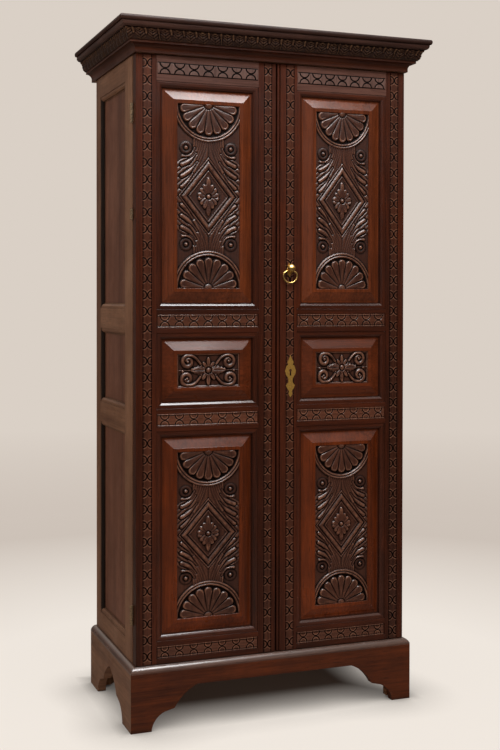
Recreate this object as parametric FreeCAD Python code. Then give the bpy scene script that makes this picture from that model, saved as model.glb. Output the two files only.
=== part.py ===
import FreeCAD, Part
import math
import os

Vector = FreeCAD.Vector
os.makedirs("parts", exist_ok=True)

# A tall carved cupboard with two doors, in millimetres.
# X runs to the right, Y to the back and Z up. While it is drawn, the doors' front
# plane is y = 0 and the floor is z = 0; at the end every piece is moved so that the
# origin lies under the middle of the whole cabinet.

# Whole cabinet
total_height = 2002.0
case_width = 843.0
case_depth = 440.0
board = 28.0
rub_clearance = 0.3
glue_clearance = 0.1
overrun = 5.0
small_rod_sides = 10

# Plinth
plinth_height = 165.5
plinth_board = 25.0
plinth_side_proud = 18.5
plinth_front_proud = 15.0
plinth_back_proud = 2.0
skirt_height = 121.0
front_foot_width = 60.5
side_foot_width = 95.0
foot_hollow_width = 40.0
foot_hollow_height = 53.0
foot_step_width = 28.0
foot_step_rise = 7.0
front_skirt_hollow = 69.0
side_arch_half_top = 2.5
foot_hollow_bow_share = 0.15
skirt_hollow_bow_share = 0.09
glue_block_side = 42.0
glue_block_lift = 8.0
small_block_length = 90.0
small_block_side = 30.0
base_moulding_height = 17.5
base_moulding_lip = 4.0
base_moulding_flat = 5.0
base_moulding_bow_share = 0.12

# Doors
door_thickness = 28.0
hinge_gap = 2.0
door_clearance = 2.0
meeting_line = 3.0
meeting_gap = 5.0
hinge_stile_face = 60.5
meeting_stile_face = 53.0
closing_bead_width = 10.0
closing_bead_radius = 4.0
bottom_rail_face = 64.0
lower_opening = 596.5
lower_rail_face = 64.0
middle_opening = 215.5
upper_rail_face = 67.0
top_rail_face = 72.0

# Side frames of the case
side_front_stile = 88.0
side_back_stile = 55.0
side_bottom_rail = 56.5
side_lower_opening = 600.5
side_lower_rail = 60.5
side_middle_opening = 230.5
side_upper_rail = 61.5
side_top_rail = 62.5
corner_quirk_width = 6.5
corner_quirk_depth = 3.0
back_rebate_width = 14.0

# Frame joints and mouldings
quirk = 1.5
outer_fillet = 4.5
ovolo_radius = 8.5
ovolo_flats = 3
inner_fillet = 3.5
groove_front = 11.0
groove_width = 8.0
groove_depth = 10.0
tongue_slack = 2.0
tongue_play = 0.4
tenon_length = 45.0
side_tenon_length = 40.0
tenon_shoulder = 12.0

# Raised panels, whose fields stand before the doors' faces
tongue_margin = 4.0
bevel_width = 26.0
field_proud = 4.0
field_step = 1.5
field_border = 10.5
carving_depth = 5.0

# Carving on the sunk fields: shells, rings, lozenge, bosses and scrolls
shell_radius = 89.0
shell_lobes = 9
lobe_bulge = 4.5
shell_height = 2.5
shell_ring_inner = 95.0
shell_ring_width = 13.0
shell_ring_height = 3.5
lozenge_half_width = 92.0
lozenge_half_height = 113.0
lozenge_bar_width = 21.0
lozenge_bar_height = 4.5
boss_radius = 8.0
boss_height = 4.8
boss_sides = 8
boss_top_share = 0.6
eye_across = 69.0
eye_up = 139.0
scroll_across = 65.0
scroll_up = 25.0
scroll_radius = 19.0
scroll_height = 3.8
leaf_length = 50.0
leaf_half_width = 17.0
leaf_height = 3.0
leaf_shoulder_share = 0.45

# Sunk bands of carving on the door rails, from the bottom rail up
band_depth = 2.0
band_widths = (34.0, 36.0, 38.0)

# Inside of the case
back_board_thickness = 12.0
back_board_gap = 1.0
back_board_count = 5
top_board_thickness = 18.0
front_top_rail_height = 60.0
front_top_rail_thickness = 22.0
shelf_thickness = 20.0
shelf_setback = 30.0
shelf_count = 3
bearer_width = 18.0
bearer_height = 30.0

# Cornice, from its lowest moulding up
cornice_front_proud = 6.5
cornice_back_proud = 40.0
cornice_frame_board = 22.0
cornice_fillet_overhang = 6.0
cornice_fillet_height = 8.0
cove_radius = 16.0
cove_step_overhang = 2.5
cove_step_height = 7.0
leaf_band_lower_overhang = 26.5
leaf_band_upper_overhang = 43.5
leaf_band_height = 31.0
leaf_band_bow_share = 0.12
roll_overhang = 54.5
roll_height = 15.0
roll_flat = 5.0
roll_bow_share = 0.2
top_slab_thickness = 14.0
top_slab_overhang = 61.0
top_slab_ease = 2.5

# Hinges: their middles go up from the door's lower edge or down from its upper one
lower_hinge_rise = 138.0
upper_hinge_drop = 162.5
middle_hinge_drop = 447.5
hinge_lengths = (56.0, 30.0, 56.0)
knuckle_radius = 4.7
knuckle_standoff = 4.9
pin_radius = 2.0
pin_clearance = 0.06
leaf_thickness = 1.85
leaf_sink = 1.0
leaf_width = 20.0
knuckle_play = 0.3

# Lock, keeper and escutcheon
lock_height = 1006.0
keyhole_x = 48.5
keyhole_radius = 4.0
keyhole_slot_width = 5.0
keyhole_height = 20.0
lock_case_width = 62.0
lock_case_height = 80.0
lock_case_thickness = 16.0
lock_edge_margin = 1.0
bolt_width = 14.0
bolt_thickness = 8.0
bolt_length = 36.0
bolt_play = 0.3
bolt_nose_margin = 1.0
keeper_width = 20.0
keeper_height = 44.0
keeper_wall = 3.0
keeper_play = 1.0
escutcheon_height = 124.0
escutcheon_half_width = 17.2
escutcheon_thickness = 1.6
escutcheon_keyhole_drop = 51.0

# Ring pull
pull_x = 44.5
pull_height = 1303.5
pull_plate_thickness = 1.6
pull_plate_half_width = 10.0
pull_plate_top = 25.0
pull_plate_bottom = 16.0
pull_reach = 8.0
pull_lug_radius = 4.0
pull_web_height = 6.0
pull_lug_length = 15.0
knob_sides = 16
knob_neck_radius = 3.5
knob_radius = 9.5
knob_rise = 8.5
knob_throat = 13.5
knob_rim = 18.0
knob_shoulder = 20.5
knob_bevel = 25.5
knob_front = 28.0
knob_bevel_share = 0.75
knob_crown_share = 0.35
ring_wire_radius = 2.3
ring_radius = 22.0
ring_runs = 10
ring_drop = 12.0
ring_pin_radius = 1.8
ring_pin_length = 5.0
ring_pin_clearance = 0.05

# Flat bolts on the left door, which slide in staples
bar_width = 12.0
bar_thickness = 6.0
bar_length = 150.0
bar_play = 0.1
bar_from_edge = 30.0
bar_hole_play = 0.8
upper_bolt_throw = 18.0
lower_bolt_throw = 14.0
bar_rest_gap = 3.0
bolt_plate_length = 100.0
bolt_plate_width = 30.0
bolt_plate_thickness = 2.0
bolt_plate_from_tip = 32.0
staple_length = 14.0
staple_wall = 2.5
thumb_width = 5.0
thumb_height = 14.0
thumb_length = 11.0

# Places worked out from the sizes above
half_case = case_width / 2
case_front = door_thickness + hinge_gap
case_back = case_front + case_depth
inner_half = half_case - board
floor_top = plinth_height + base_moulding_height
case_top = total_height - (cornice_fillet_height + cove_radius + cove_step_height
                           + leaf_band_height + roll_height + top_slab_thickness)
door_bottom = floor_top + door_clearance
door_top = case_top - door_clearance
left_door_edge = meeting_line - meeting_gap / 2
right_door_edge = meeting_line + meeting_gap / 2
plinth_half = half_case + plinth_side_proud
plinth_front = -plinth_front_proud
plinth_back = case_back + plinth_back_proud
side_skirt_hollow = ((plinth_back - plinth_front) / 2 - side_foot_width - foot_hollow_width
                     - foot_step_width - side_arch_half_top)
bottom_board_front = plinth_front + plinth_side_proud
cornice_front = -cornice_front_proud
cornice_back = case_back + cornice_back_proud
slab_bottom = total_height - top_slab_thickness
groove_back = groove_front + groove_width
moulding_width = outer_fillet + ovolo_radius + inner_fillet
field_rim = tongue_margin + bevel_width
field_floor = carving_depth - field_proud
back_board_front = case_back - back_board_thickness
half_depth_middle = (cornice_front - top_slab_overhang + cornice_back) / 2
hinge_axis_x = half_case + knuckle_standoff
hinge_axis_y = door_thickness + hinge_gap / 2
hinge_heights = (door_bottom + lower_hinge_rise, door_top - middle_hinge_drop,
                 door_top - upper_hinge_drop)
bar_x = left_door_edge - bar_from_edge
bar_front = door_thickness + bolt_plate_thickness + bar_play
bar_back = bar_front + bar_thickness
top_rail_bottom = case_top - front_top_rail_height
pull_axis_y = -pull_reach


def in_xy(a, b):
    return Vector(a, b, 0)


def in_xz(a, b):
    return Vector(a, 0, b)


def in_yz(a, b):
    return Vector(0, a, b)


def open_path(start, steps, plane):
    """Wire through the steps. A step is one point for a straight edge, or a pair of points,
    an arc's middle and its end."""
    edges = []
    here = start
    for step in steps:
        arc = isinstance(step[0], tuple)
        end = step[1] if arc else step
        first = plane(*here)
        last = plane(*end)
        if arc:
            edges.append(Part.Arc(first, plane(*step[0]), last).toShape())
        else:
            edges.append(Part.makeLine(first, last))
        here = end
    return Part.Wire(edges)


def outline(start, steps, plane):
    """Flat face inside an outline, which is closed by a straight edge if need be."""
    last = steps[-1]
    end = last[1] if isinstance(last[0], tuple) else last
    closing = [] if end == start else [start]
    return Part.Face(open_path(start, steps + closing, plane))


def bowed(start, end, share):
    """Arc step from start to end that stands off its chord, to the left, by a share of it."""
    across = end[0] - start[0]
    up = end[1] - start[1]
    middle = ((start[0] + end[0]) / 2 - up * share, (start[1] + end[1]) / 2 + across * share)
    return (middle, end)


def block(x_low, x_high, y_low, y_high, z_low, z_high):
    return Part.makeBox(x_high - x_low, y_high - y_low, z_high - z_low, Vector(x_low, y_low, z_low))


def rod_between(radius, start, end):
    run = end.sub(start)
    return Part.makeCylinder(radius, run.Length, start, run)


def closed_face(corners):
    return Part.Face(Part.makePolygon(corners + corners[:1]))


def many_sided_face(radius, sides):
    """Regular flat face round the Z axis."""
    turn = 2 * math.pi / sides
    return closed_face([Vector(radius * math.cos(n * turn), radius * math.sin(n * turn), 0)
                        for n in range(sides)])


def flat_faced(rings):
    """Solid with flat faces from each ring of corners to the next, closed by the two end rings."""
    faces = [closed_face(rings[0]), closed_face(rings[-1])]
    for low, high in zip(rings, rings[1:]):
        for n in range(len(low)):
            faces.append(closed_face([low[n - 1], low[n], high[n], high[n - 1]]))
    shell = Part.makeShell(faces)
    shell.sewShape()
    return Part.makeSolid(shell)


def many_sided_rod(radius, start, end):
    """Rod for small round outsides, with flats in place of a true round."""
    run = end.sub(start)
    rod = many_sided_face(radius, small_rod_sides).extrude(Vector(0, 0, run.Length))
    rod.Placement = FreeCAD.Placement(start, FreeCAD.Rotation(Vector(0, 0, 1), run))
    return rod


def mirrored(shape):
    return shape.mirror(Vector(0, 0, 0), Vector(1, 0, 0))


def both_edges(low, high, half, plane):
    """Face with the same edge at both ends of low to high. half lists points of one edge,
    front to back, as (inset, depth)."""
    there = [(low + inset, depth) for inset, depth in half]
    back = [(high - inset, depth) for inset, depth in reversed(half)]
    return outline(there[0], there[1:] + back, plane)


def mitred_solid(x_range, z_range, half):
    """Solid whose four edges have the same section and meet in mitres."""
    upright = both_edges(x_range[0], x_range[1], half, in_xy)
    upright.translate(Vector(0, 0, z_range[0] - overrun))
    upright = upright.extrude(Vector(0, 0, z_range[1] - z_range[0] + 2 * overrun))
    level = both_edges(z_range[0], z_range[1], half, lambda inset, depth: Vector(0, depth, inset))
    level.translate(Vector(x_range[0] - overrun, 0, 0))
    level = level.extrude(Vector(x_range[1] - x_range[0] + 2 * overrun, 0, 0))
    return upright.common(level)


def opening_cutter(x_range, z_range, thickness):
    """What a frame opening takes away: quirk, fillets, ovolo, panel groove and the hole behind."""
    inner = moulding_width
    grooved = moulding_width - groove_depth
    foot = quirk + ovolo_radius
    turns = [math.pi / 2 * n / ovolo_flats for n in range(ovolo_flats + 1)]
    ovolo = [(outer_fillet + ovolo_radius * math.sin(turn), foot - ovolo_radius * math.cos(turn))
             for turn in turns]
    half = [
        (0, -overrun),
        (0, quirk),
        *ovolo,
        (inner, foot),
        (inner, groove_front),
        (grooved, groove_front),
        (grooved, groove_back),
        (inner, groove_back),
        (inner, thickness + overrun),
    ]
    return mitred_solid(x_range, z_range, half)


def flat_form(points, height):
    """Flat-topped form that stands on the sunk floor of a field."""
    face = outline(points[0], points[1:], in_xz)
    face.translate(Vector(0, field_floor, 0))
    return face.extrude(Vector(0, -height, 0))


def tapered_form(base, top, height):
    """Form that goes from base points on the sunk floor to as many top points over them."""
    return flat_faced([[Vector(x, field_floor, z) for x, z in base],
                       [Vector(x, field_floor - height, z) for x, z in top]])


def polygon_points(x, z, radius):
    turn = 2 * math.pi / boss_sides
    return [(x + radius * math.cos(n * turn), z + radius * math.sin(n * turn)) for n in range(boss_sides)]


def boss(x, z, radius, height):
    return tapered_form(polygon_points(x, z, radius), polygon_points(x, z, radius * boss_top_share), height)


def fan_points(x, z, radius, way, bulge):
    """Half circle of chords below or above x, z, one per lobe, with bulge added amid each."""
    points = []
    for n in range(2 * shell_lobes + 1):
        angle = n * math.pi / (2 * shell_lobes)
        reach = radius + bulge * (n % 2)
        if bulge or n % 2 == 0:
            points.append((x + reach * math.cos(angle), z + way * reach * math.sin(angle)))
    return points


def shell_forms(x, edge, way):
    """Lobed half disc and the ring round it, from the field's edge inward."""
    fan = fan_points(x, edge, shell_radius, way, lobe_bulge)
    outside = fan_points(x, edge, shell_ring_inner + shell_ring_width, way, 0)
    inside = fan_points(x, edge, shell_ring_inner, way, 0)
    return [flat_form(fan, shell_height), flat_form(outside + inside[::-1], shell_ring_height)]


def lozenge_points(x, z, inset):
    """Corners of the lozenge, whose sides are moved inward by inset."""
    share = 1 - inset * math.hypot(lozenge_half_width, lozenge_half_height) / (
        lozenge_half_width * lozenge_half_height)
    across = lozenge_half_width * share
    up = lozenge_half_height * share
    return [(x + across, z), (x, z + up), (x - across, z), (x, z - up)]


def lozenge_bar(x, z):
    """Roof-shaped bar round the lozenge."""
    ridge = lozenge_points(x, z, lozenge_bar_width / 2)
    whole = tapered_form(lozenge_points(x, z, 0), ridge, lozenge_bar_height)
    return whole.cut(tapered_form(lozenge_points(x, z, lozenge_bar_width), ridge, lozenge_bar_height))


def leaf_form(x, z, way):
    """Long pointed leaf that grows sideways from x, z."""
    shoulder = way * leaf_length * leaf_shoulder_share
    points = [(x, z), (x + shoulder, z - leaf_half_width), (x + way * leaf_length, z),
              (x + shoulder, z + leaf_half_width)]
    return flat_form(points, leaf_height)


def field_forms(x_range, z_range):
    """Main forms of the carving: the tall fields have shells and a lozenge, the low ones scrolls."""
    x = (x_range[0] + x_range[1]) / 2
    z = (z_range[0] + z_range[1]) / 2
    forms = [boss(x, z, boss_radius, boss_height)]
    tall = z_range[1] - z > lozenge_half_height
    if tall:
        forms += shell_forms(x, z_range[1], -1) + shell_forms(x, z_range[0], 1)
        forms.append(lozenge_bar(x, z))
    else:
        forms += [leaf_form(x, z, -1), leaf_form(x, z, 1)]
    for way in (-1, 1):
        for rise in (-1, 1):
            if tall:
                forms.append(boss(x + way * eye_across, z + rise * eye_up, boss_radius, boss_height))
            else:
                forms.append(boss(x + way * scroll_across, z + rise * scroll_up, scroll_radius,
                                  scroll_height))
    space = block(x_range[0], x_range[1], field_floor - carving_depth, field_floor, z_range[0], z_range[1])
    return [form.common(space) for form in forms]


class Frame:
    """Stiles and rails round panels: outer edges, stile faces and rail edges."""

    def __init__(self, x_range, z_range, stile_faces, rails, thickness, tenon):
        self.x_range = x_range
        self.z_range = z_range
        self.opening_x = (x_range[0] + stile_faces[0], x_range[1] - stile_faces[1])
        self.rails = rails
        self.thickness = thickness
        self.tenon = tenon
        self.openings = [(rails[n][1], rails[n + 1][0]) for n in range(len(rails) - 1)]
        self.cutters = [opening_cutter(self.opening_x, span, thickness) for span in self.openings]

    def tenon_block(self, rail, play):
        low, high = rail
        return block(self.opening_x[0] - self.tenon - play, self.opening_x[1] + self.tenon + play,
                     groove_front - play, groove_back + play,
                     low + tenon_shoulder - play, high - tenon_shoulder + play)

    def stile(self, high_side):
        edge = self.opening_x[1] if high_side else self.opening_x[0]
        outer = self.x_range[1] if high_side else self.x_range[0]
        inward = -moulding_width if high_side else moulding_width
        steps = [(edge, self.z_range[0])]
        for low, high in self.openings:
            steps.append((edge, low))
            steps.append((edge + inward, low + moulding_width))
            steps.append((edge + inward, high - moulding_width))
            steps.append((edge, high))
        steps.append((edge, self.z_range[1]))
        steps.append((outer, self.z_range[1]))
        piece = outline((outer, self.z_range[0]), steps, in_xz).extrude(Vector(0, self.thickness, 0))
        for cutter in self.cutters:
            piece = piece.cut(cutter)
        for rail in self.rails:
            piece = piece.cut(self.tenon_block(rail, glue_clearance))
        return piece

    def rail(self, number):
        low, high = self.rails[number]
        left, right = self.opening_x
        inner = (left + moulding_width, right - moulding_width)
        steps = []
        if number > 0:
            steps += [(inner[0], low - moulding_width), (inner[1], low - moulding_width)]
        steps += [(right, low), (right, high)]
        if number < len(self.rails) - 1:
            steps += [(inner[1], high + moulding_width), (inner[0], high + moulding_width)]
        steps.append((left, high))
        piece = outline((left, low), steps, in_xz).extrude(Vector(0, self.thickness, 0))
        for place in (number - 1, number):
            if 0 <= place < len(self.cutters):
                piece = piece.cut(self.cutters[place])
        return piece.fuse(self.tenon_block(self.rails[number], 0)).removeSplitter()

    def panel_span(self, number):
        """Opening inside the mouldings, where the panel shows."""
        low, high = self.openings[number]
        return ((self.opening_x[0] + moulding_width, self.opening_x[1] - moulding_width),
                (low + moulding_width, high - moulding_width))

    def flat_panel(self, number):
        x_range, z_range = self.panel_span(number)
        reach = groove_depth - tongue_slack
        return block(x_range[0] - reach, x_range[1] + reach,
                     groove_front + tongue_play, groove_back - tongue_play,
                     z_range[0] - reach, z_range[1] + reach)

    def raised_panel(self, number):
        x_range, z_range = self.panel_span(number)
        reach = groove_depth - tongue_slack
        tongue_front = groove_front + tongue_play
        half = [
            (field_rim, -field_proud),
            (field_rim, field_step - field_proud),
            (tongue_margin, tongue_front),
            (-reach, tongue_front),
            (-reach, groove_back - tongue_play),
        ]
        piece = mitred_solid(x_range, z_range, half)
        rim = field_rim + field_border
        field_x = (x_range[0] + rim, x_range[1] - rim)
        field_z = (z_range[0] + rim, z_range[1] - rim)
        sunk = block(field_x[0], field_x[1], -field_proud - overrun, field_floor, field_z[0], field_z[1])
        forms = field_forms(field_x, field_z)
        return piece.cut(sunk).fuse(forms).removeSplitter()


def door_rails():
    low = door_bottom
    rails = [(low, low + bottom_rail_face)]
    low = rails[-1][1] + lower_opening
    rails.append((low, low + lower_rail_face))
    low = rails[-1][1] + middle_opening
    rails.append((low, low + upper_rail_face))
    rails.append((door_top - top_rail_face, door_top))
    return rails


def side_rails():
    low = floor_top
    rails = [(low, low + side_bottom_rail)]
    low = rails[-1][1] + side_lower_opening
    rails.append((low, low + side_lower_rail))
    low = rails[-1][1] + side_middle_opening
    rails.append((low, low + side_upper_rail))
    rails.append((case_top - side_top_rail, case_top))
    return rails


left_door = Frame((-half_case, left_door_edge), (door_bottom, door_top),
                  (hinge_stile_face, meeting_stile_face), door_rails(), door_thickness, tenon_length)
right_door = Frame((right_door_edge + closing_bead_width, half_case), (door_bottom, door_top),
                   (meeting_stile_face, hinge_stile_face), door_rails(), door_thickness, tenon_length)
side_frame = Frame((case_front, case_back), (floor_top, case_top),
                   (side_front_stile, side_back_stile), side_rails(), board, side_tenon_length)


def to_right_side(shape):
    """Turns a frame that was drawn facing forward so that it faces right, as a side does."""
    turned = shape.copy()
    turned.rotate(Vector(0, 0, 0), Vector(0, 0, 1), 90)
    turned.translate(Vector(half_case, 0, 0))
    return turned


# Plinth

def bracket_edge(foot, step, hollow, plane_low, plane_high):
    """Lower edge of a plinth board with two bracket feet, from its low end to its high end."""
    corners = [
        (foot, 0),
        (foot + foot_hollow_width, foot_hollow_height),
        (foot + foot_hollow_width + step, foot_hollow_height + foot_step_rise),
        (foot + foot_hollow_width + step + hollow, skirt_height),
    ]
    low = [(plane_low + along, height) for along, height in corners]
    high = [(plane_high - along, height) for along, height in reversed(corners)]
    return [
        low[0],
        bowed(low[0], low[1], foot_hollow_bow_share),
        low[2],
        bowed(low[2], low[3], skirt_hollow_bow_share),
        high[0],
        bowed(high[0], high[1], skirt_hollow_bow_share),
        high[2],
        bowed(high[2], high[3], foot_hollow_bow_share),
        (plane_high, 0),
        (plane_high, plinth_height),
        (plane_low, plinth_height),
    ]


def front_corner_wedge(half_width, front, reach):
    """Plan of everything in front of the two mitre lines at the front corners."""
    return [(-half_width - reach, front - reach), (half_width + reach, front - reach),
            (half_width, front), (-half_width, front)]


def mitre_wedge(half_width, front, reach, z_low, z_high):
    corners = front_corner_wedge(half_width, front, reach)
    face = outline(corners[0], corners[1:], in_xy)
    face.translate(Vector(0, 0, z_low))
    return face.extrude(Vector(0, 0, z_high - z_low))


def plinth_wedge():
    return mitre_wedge(plinth_half - plinth_board, plinth_front + plinth_board, plinth_board,
                       0, plinth_height)


def plinth_front_board():
    steps = bracket_edge(front_foot_width, foot_step_width, front_skirt_hollow, -plinth_half, plinth_half)
    face = outline((-plinth_half, 0), steps, in_xz)
    face.translate(Vector(0, plinth_front, 0))
    return face.extrude(Vector(0, plinth_board, 0)).common(plinth_wedge())


def plinth_right_board():
    steps = bracket_edge(side_foot_width, foot_step_width, side_skirt_hollow, plinth_front, plinth_back)
    face = outline((plinth_front, 0), steps, in_yz)
    face.translate(Vector(plinth_half - plinth_board, 0, 0))
    return face.extrude(Vector(plinth_board, 0, 0)).cut(plinth_wedge())


def plinth_back_board():
    low = -plinth_half + plinth_board
    high = plinth_half - plinth_board
    foot = front_foot_width - plinth_board
    steps = bracket_edge(foot, foot_step_width, front_skirt_hollow, low, high)
    face = outline((low, 0), steps, in_xz)
    face.translate(Vector(0, plinth_back - plinth_board, 0))
    return face.extrude(Vector(0, plinth_board, 0))


def glue_blocks():
    inner_x = plinth_half - plinth_board
    inner_front = plinth_front + plinth_board
    inner_back = plinth_back - plinth_board
    pieces = []
    for x_sign in (-1, 1):
        for y, y_sign in ((inner_front, 1), (inner_back, -1)):
            corner = [(x_sign * inner_x, y), (x_sign * (inner_x - glue_block_side), y),
                      (x_sign * (inner_x - glue_block_side), y + y_sign * glue_block_side / 2),
                      (x_sign * (inner_x - glue_block_side / 2), y + y_sign * glue_block_side),
                      (x_sign * inner_x, y + y_sign * glue_block_side)]
            face = outline(corner[0], corner[1:], in_xy)
            face.translate(Vector(0, 0, glue_block_lift))
            pieces.append(face.extrude(Vector(0, 0, plinth_height - glue_block_lift)))
    low = plinth_height - small_block_side
    for x in (-half_case / 2, 0, half_case / 2):
        x_low = x - small_block_length / 2
        pieces.append(block(x_low, x_low + small_block_length, inner_front, inner_front + small_block_side,
                            low, plinth_height))
        pieces.append(block(x_low, x_low + small_block_length, inner_back - small_block_side, inner_back,
                            low, plinth_height))
    return pieces


def base_moulding_section(plane):
    """Section of the base moulding, from the case edge outward, standing on the plinth."""
    lip = (plinth_side_proud, base_moulding_lip)
    flat = (base_moulding_flat, base_moulding_height)
    return outline((0, 0), [(plinth_side_proud, 0), lip, bowed(lip, flat, -base_moulding_bow_share),
                            (0, base_moulding_height)], plane)


def base_mouldings():
    wedge = mitre_wedge(half_case, bottom_board_front, plinth_side_proud,
                        plinth_height, plinth_height + base_moulding_height)
    front = base_moulding_section(lambda out, up: Vector(-plinth_half, bottom_board_front - out,
                                                         plinth_height + up))
    front = front.extrude(Vector(2 * plinth_half, 0, 0)).common(wedge)
    side = base_moulding_section(lambda out, up: Vector(half_case + out, plinth_front, plinth_height + up))
    side = side.extrude(Vector(0, plinth_back - plinth_front, 0)).cut(wedge)
    return [front, side, mirrored(side)]


# Case

def side_front_stile_piece():
    piece = side_frame.stile(False)
    quirk_cut = block(case_front - overrun, case_front + corner_quirk_width, -overrun, corner_quirk_depth,
                      floor_top - overrun, case_top + overrun)
    piece = to_right_side(piece.cut(quirk_cut))
    for z, length in zip(hinge_heights, hinge_lengths):
        piece = piece.cut(leaf_plate(z, length, case_front, leaf_sink))
    return piece


def side_back_stile_piece():
    rebate = block(case_back - back_board_thickness, case_back + overrun, board - back_rebate_width,
                   board + overrun, floor_top - overrun, case_top + overrun)
    return to_right_side(side_frame.stile(True).cut(rebate))


def side_rail_pieces():
    return [to_right_side(side_frame.rail(n)) for n in range(len(side_frame.rails))]


def side_panel_pieces():
    return [to_right_side(side_frame.flat_panel(n)) for n in range(len(side_frame.openings))]


def bottom_board():
    piece = block(-half_case, half_case, bottom_board_front, case_back, plinth_height, floor_top)
    return piece.cut(bar_block(bar_hole_play, floor_top - lower_bolt_throw, floor_top + overrun))


def top_board():
    half = half_case - cornice_frame_board
    return block(-half, half, cornice_front + cornice_frame_board, cornice_back - cornice_frame_board,
                 case_top, case_top + top_board_thickness)


def front_top_rail():
    piece = block(-inner_half, inner_half, case_front, case_front + front_top_rail_thickness,
                  top_rail_bottom, case_top)
    mortise_top = top_rail_bottom + upper_bolt_throw
    return piece.cut(bar_block(bar_hole_play, top_rail_bottom - overrun, mortise_top))


def back_boards():
    half = inner_half + back_rebate_width
    pitch = 2 * half / back_board_count
    pieces = []
    for number in range(back_board_count):
        low = -half + number * pitch
        pieces.append(block(low + back_board_gap / 2, low + pitch - back_board_gap / 2,
                            back_board_front, case_back, floor_top, case_top))
    return pieces


def shelf_tops():
    pitch = (case_top - floor_top) / (shelf_count + 1)
    return [floor_top + (number + 1) * pitch for number in range(shelf_count)]


def shelves():
    front = case_front + shelf_setback
    return [block(-inner_half + glue_clearance, inner_half - glue_clearance, front,
                  back_board_front - glue_clearance, top - shelf_thickness, top)
            for top in shelf_tops()]


def shelf_bearers():
    front = case_front + shelf_setback
    pieces = []
    for top in shelf_tops():
        bearer = block(inner_half - bearer_width, inner_half, front, back_board_front,
                       top - shelf_thickness - bearer_height, top - shelf_thickness)
        pieces += [bearer, mirrored(bearer)]
    return pieces


# Cornice

def cornice_solid(section, z_low, z_high):
    """Moulding round the front and both sides. section lists (overhang, height) from z_low up."""
    across = []
    deep = []
    for item in section:
        if isinstance(item[0], tuple):
            across.append(tuple((half_case + o, z) for o, z in item))
            deep.append(tuple((cornice_front - o, z) for o, z in item))
        else:
            across.append((half_case + item[0], item[1]))
            deep.append((cornice_front - item[0], item[1]))
    right = outline((0, z_low), across + [(0, z_high)], in_xz)
    right.translate(Vector(0, cornice_front - top_slab_overhang - overrun, 0))
    length = cornice_back - cornice_front + top_slab_overhang + overrun
    right = right.extrude(Vector(0, length, 0))
    front = outline((cornice_back, z_low), deep + [(cornice_back, z_high)], in_yz)
    front = front.extrude(Vector(half_case + top_slab_overhang + overrun, 0, 0))
    half = right.common(front)
    return half.fuse(mirrored(half)).removeSplitter()


def planted_mouldings(section, z_low, z_high):
    """Front, right and left lengths of a cornice moulding, mitred at the front corners."""
    whole = cornice_solid(section, z_low, z_high)
    core = block(-half_case, half_case, cornice_front, cornice_back + overrun,
                 z_low - overrun, z_high + overrun)
    whole = whole.cut(core)
    wedge = mitre_wedge(half_case, cornice_front, top_slab_overhang + overrun, z_low, z_high)
    front = whole.common(wedge)
    sides = whole.cut(wedge)
    return [front] + list(sides.Solids)


def cornice_cove():
    low = case_top
    fillet = low + cornice_fillet_height
    cove_top = fillet + cove_radius
    high = cove_top + cove_step_height
    out = cornice_fillet_overhang
    turn = cove_radius * (1 - math.sqrt(0.5))
    section = [
        (out, low),
        (out, fillet),
        ((out + turn, fillet + cove_radius - turn), (out + cove_radius, cove_top)),
        (out + cove_radius + cove_step_overhang, cove_top),
        (out + cove_radius + cove_step_overhang, high),
    ]
    return planted_mouldings(section, low, high)


def leaf_band_bottom():
    return case_top + cornice_fillet_height + cove_radius + cove_step_height


def cornice_leaf_band():
    low = leaf_band_bottom()
    high = low + leaf_band_height
    start = (leaf_band_lower_overhang, low)
    middle = ((leaf_band_lower_overhang + leaf_band_upper_overhang) / 2, (low + high) / 2)
    end = (leaf_band_upper_overhang, high)
    section = [start, bowed(start, middle, -leaf_band_bow_share), bowed(middle, end, leaf_band_bow_share)]
    return planted_mouldings(section, low, high)


def cornice_roll():
    low = slab_bottom - roll_height
    start = (leaf_band_upper_overhang, low)
    end = (roll_overhang, slab_bottom - roll_flat)
    section = [start, bowed(start, end, -roll_bow_share), (roll_overhang, slab_bottom)]
    return planted_mouldings(section, low, slab_bottom)


def cornice_top_board():
    nose = (top_slab_overhang - top_slab_ease, slab_bottom)
    tip = (top_slab_overhang, (slab_bottom + total_height) / 2)
    crown = (top_slab_overhang - top_slab_ease, total_height)
    return cornice_solid([nose, (tip, crown)], slab_bottom, total_height)


def cornice_frame():
    thick = cornice_frame_board
    side = block(half_case - thick, half_case, cornice_front + thick, cornice_back - thick,
                 case_top, slab_bottom)
    return [
        block(-half_case, half_case, cornice_front, cornice_front + thick, case_top, slab_bottom),
        block(-half_case, half_case, cornice_back - thick, cornice_back, case_top, slab_bottom),
        side,
        mirrored(side),
    ]


# Hinges, drawn for the right door

def leaf_plate(z, length, face, sink):
    """Plate of a hinge leaf let into the wood at y = face, or standing before it where sink < 0."""
    y_low, y_high = sorted((face + sink, face + sink - math.copysign(leaf_thickness, sink)))
    return block(half_case - leaf_width, hinge_axis_x, y_low, y_high, z - length / 2, z + length / 2)


def on_hinge_axis(maker, radius, z_low, z_high):
    """Rod along the hinge axis, made by rod_between or many_sided_rod."""
    return maker(radius, Vector(hinge_axis_x, hinge_axis_y, z_low),
                 Vector(hinge_axis_x, hinge_axis_y, z_high))


def knuckle(z_low, z_high):
    return on_hinge_axis(many_sided_rod, knuckle_radius, z_low, z_high)


def knuckle_room(z_low, z_high):
    """Square notch in a leaf that leaves room for the other leaf's knuckle to turn."""
    reach = knuckle_radius + knuckle_play
    return block(hinge_axis_x - reach, hinge_axis_x + reach, hinge_axis_y - reach, hinge_axis_y + reach,
                 z_low, z_high)


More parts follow.
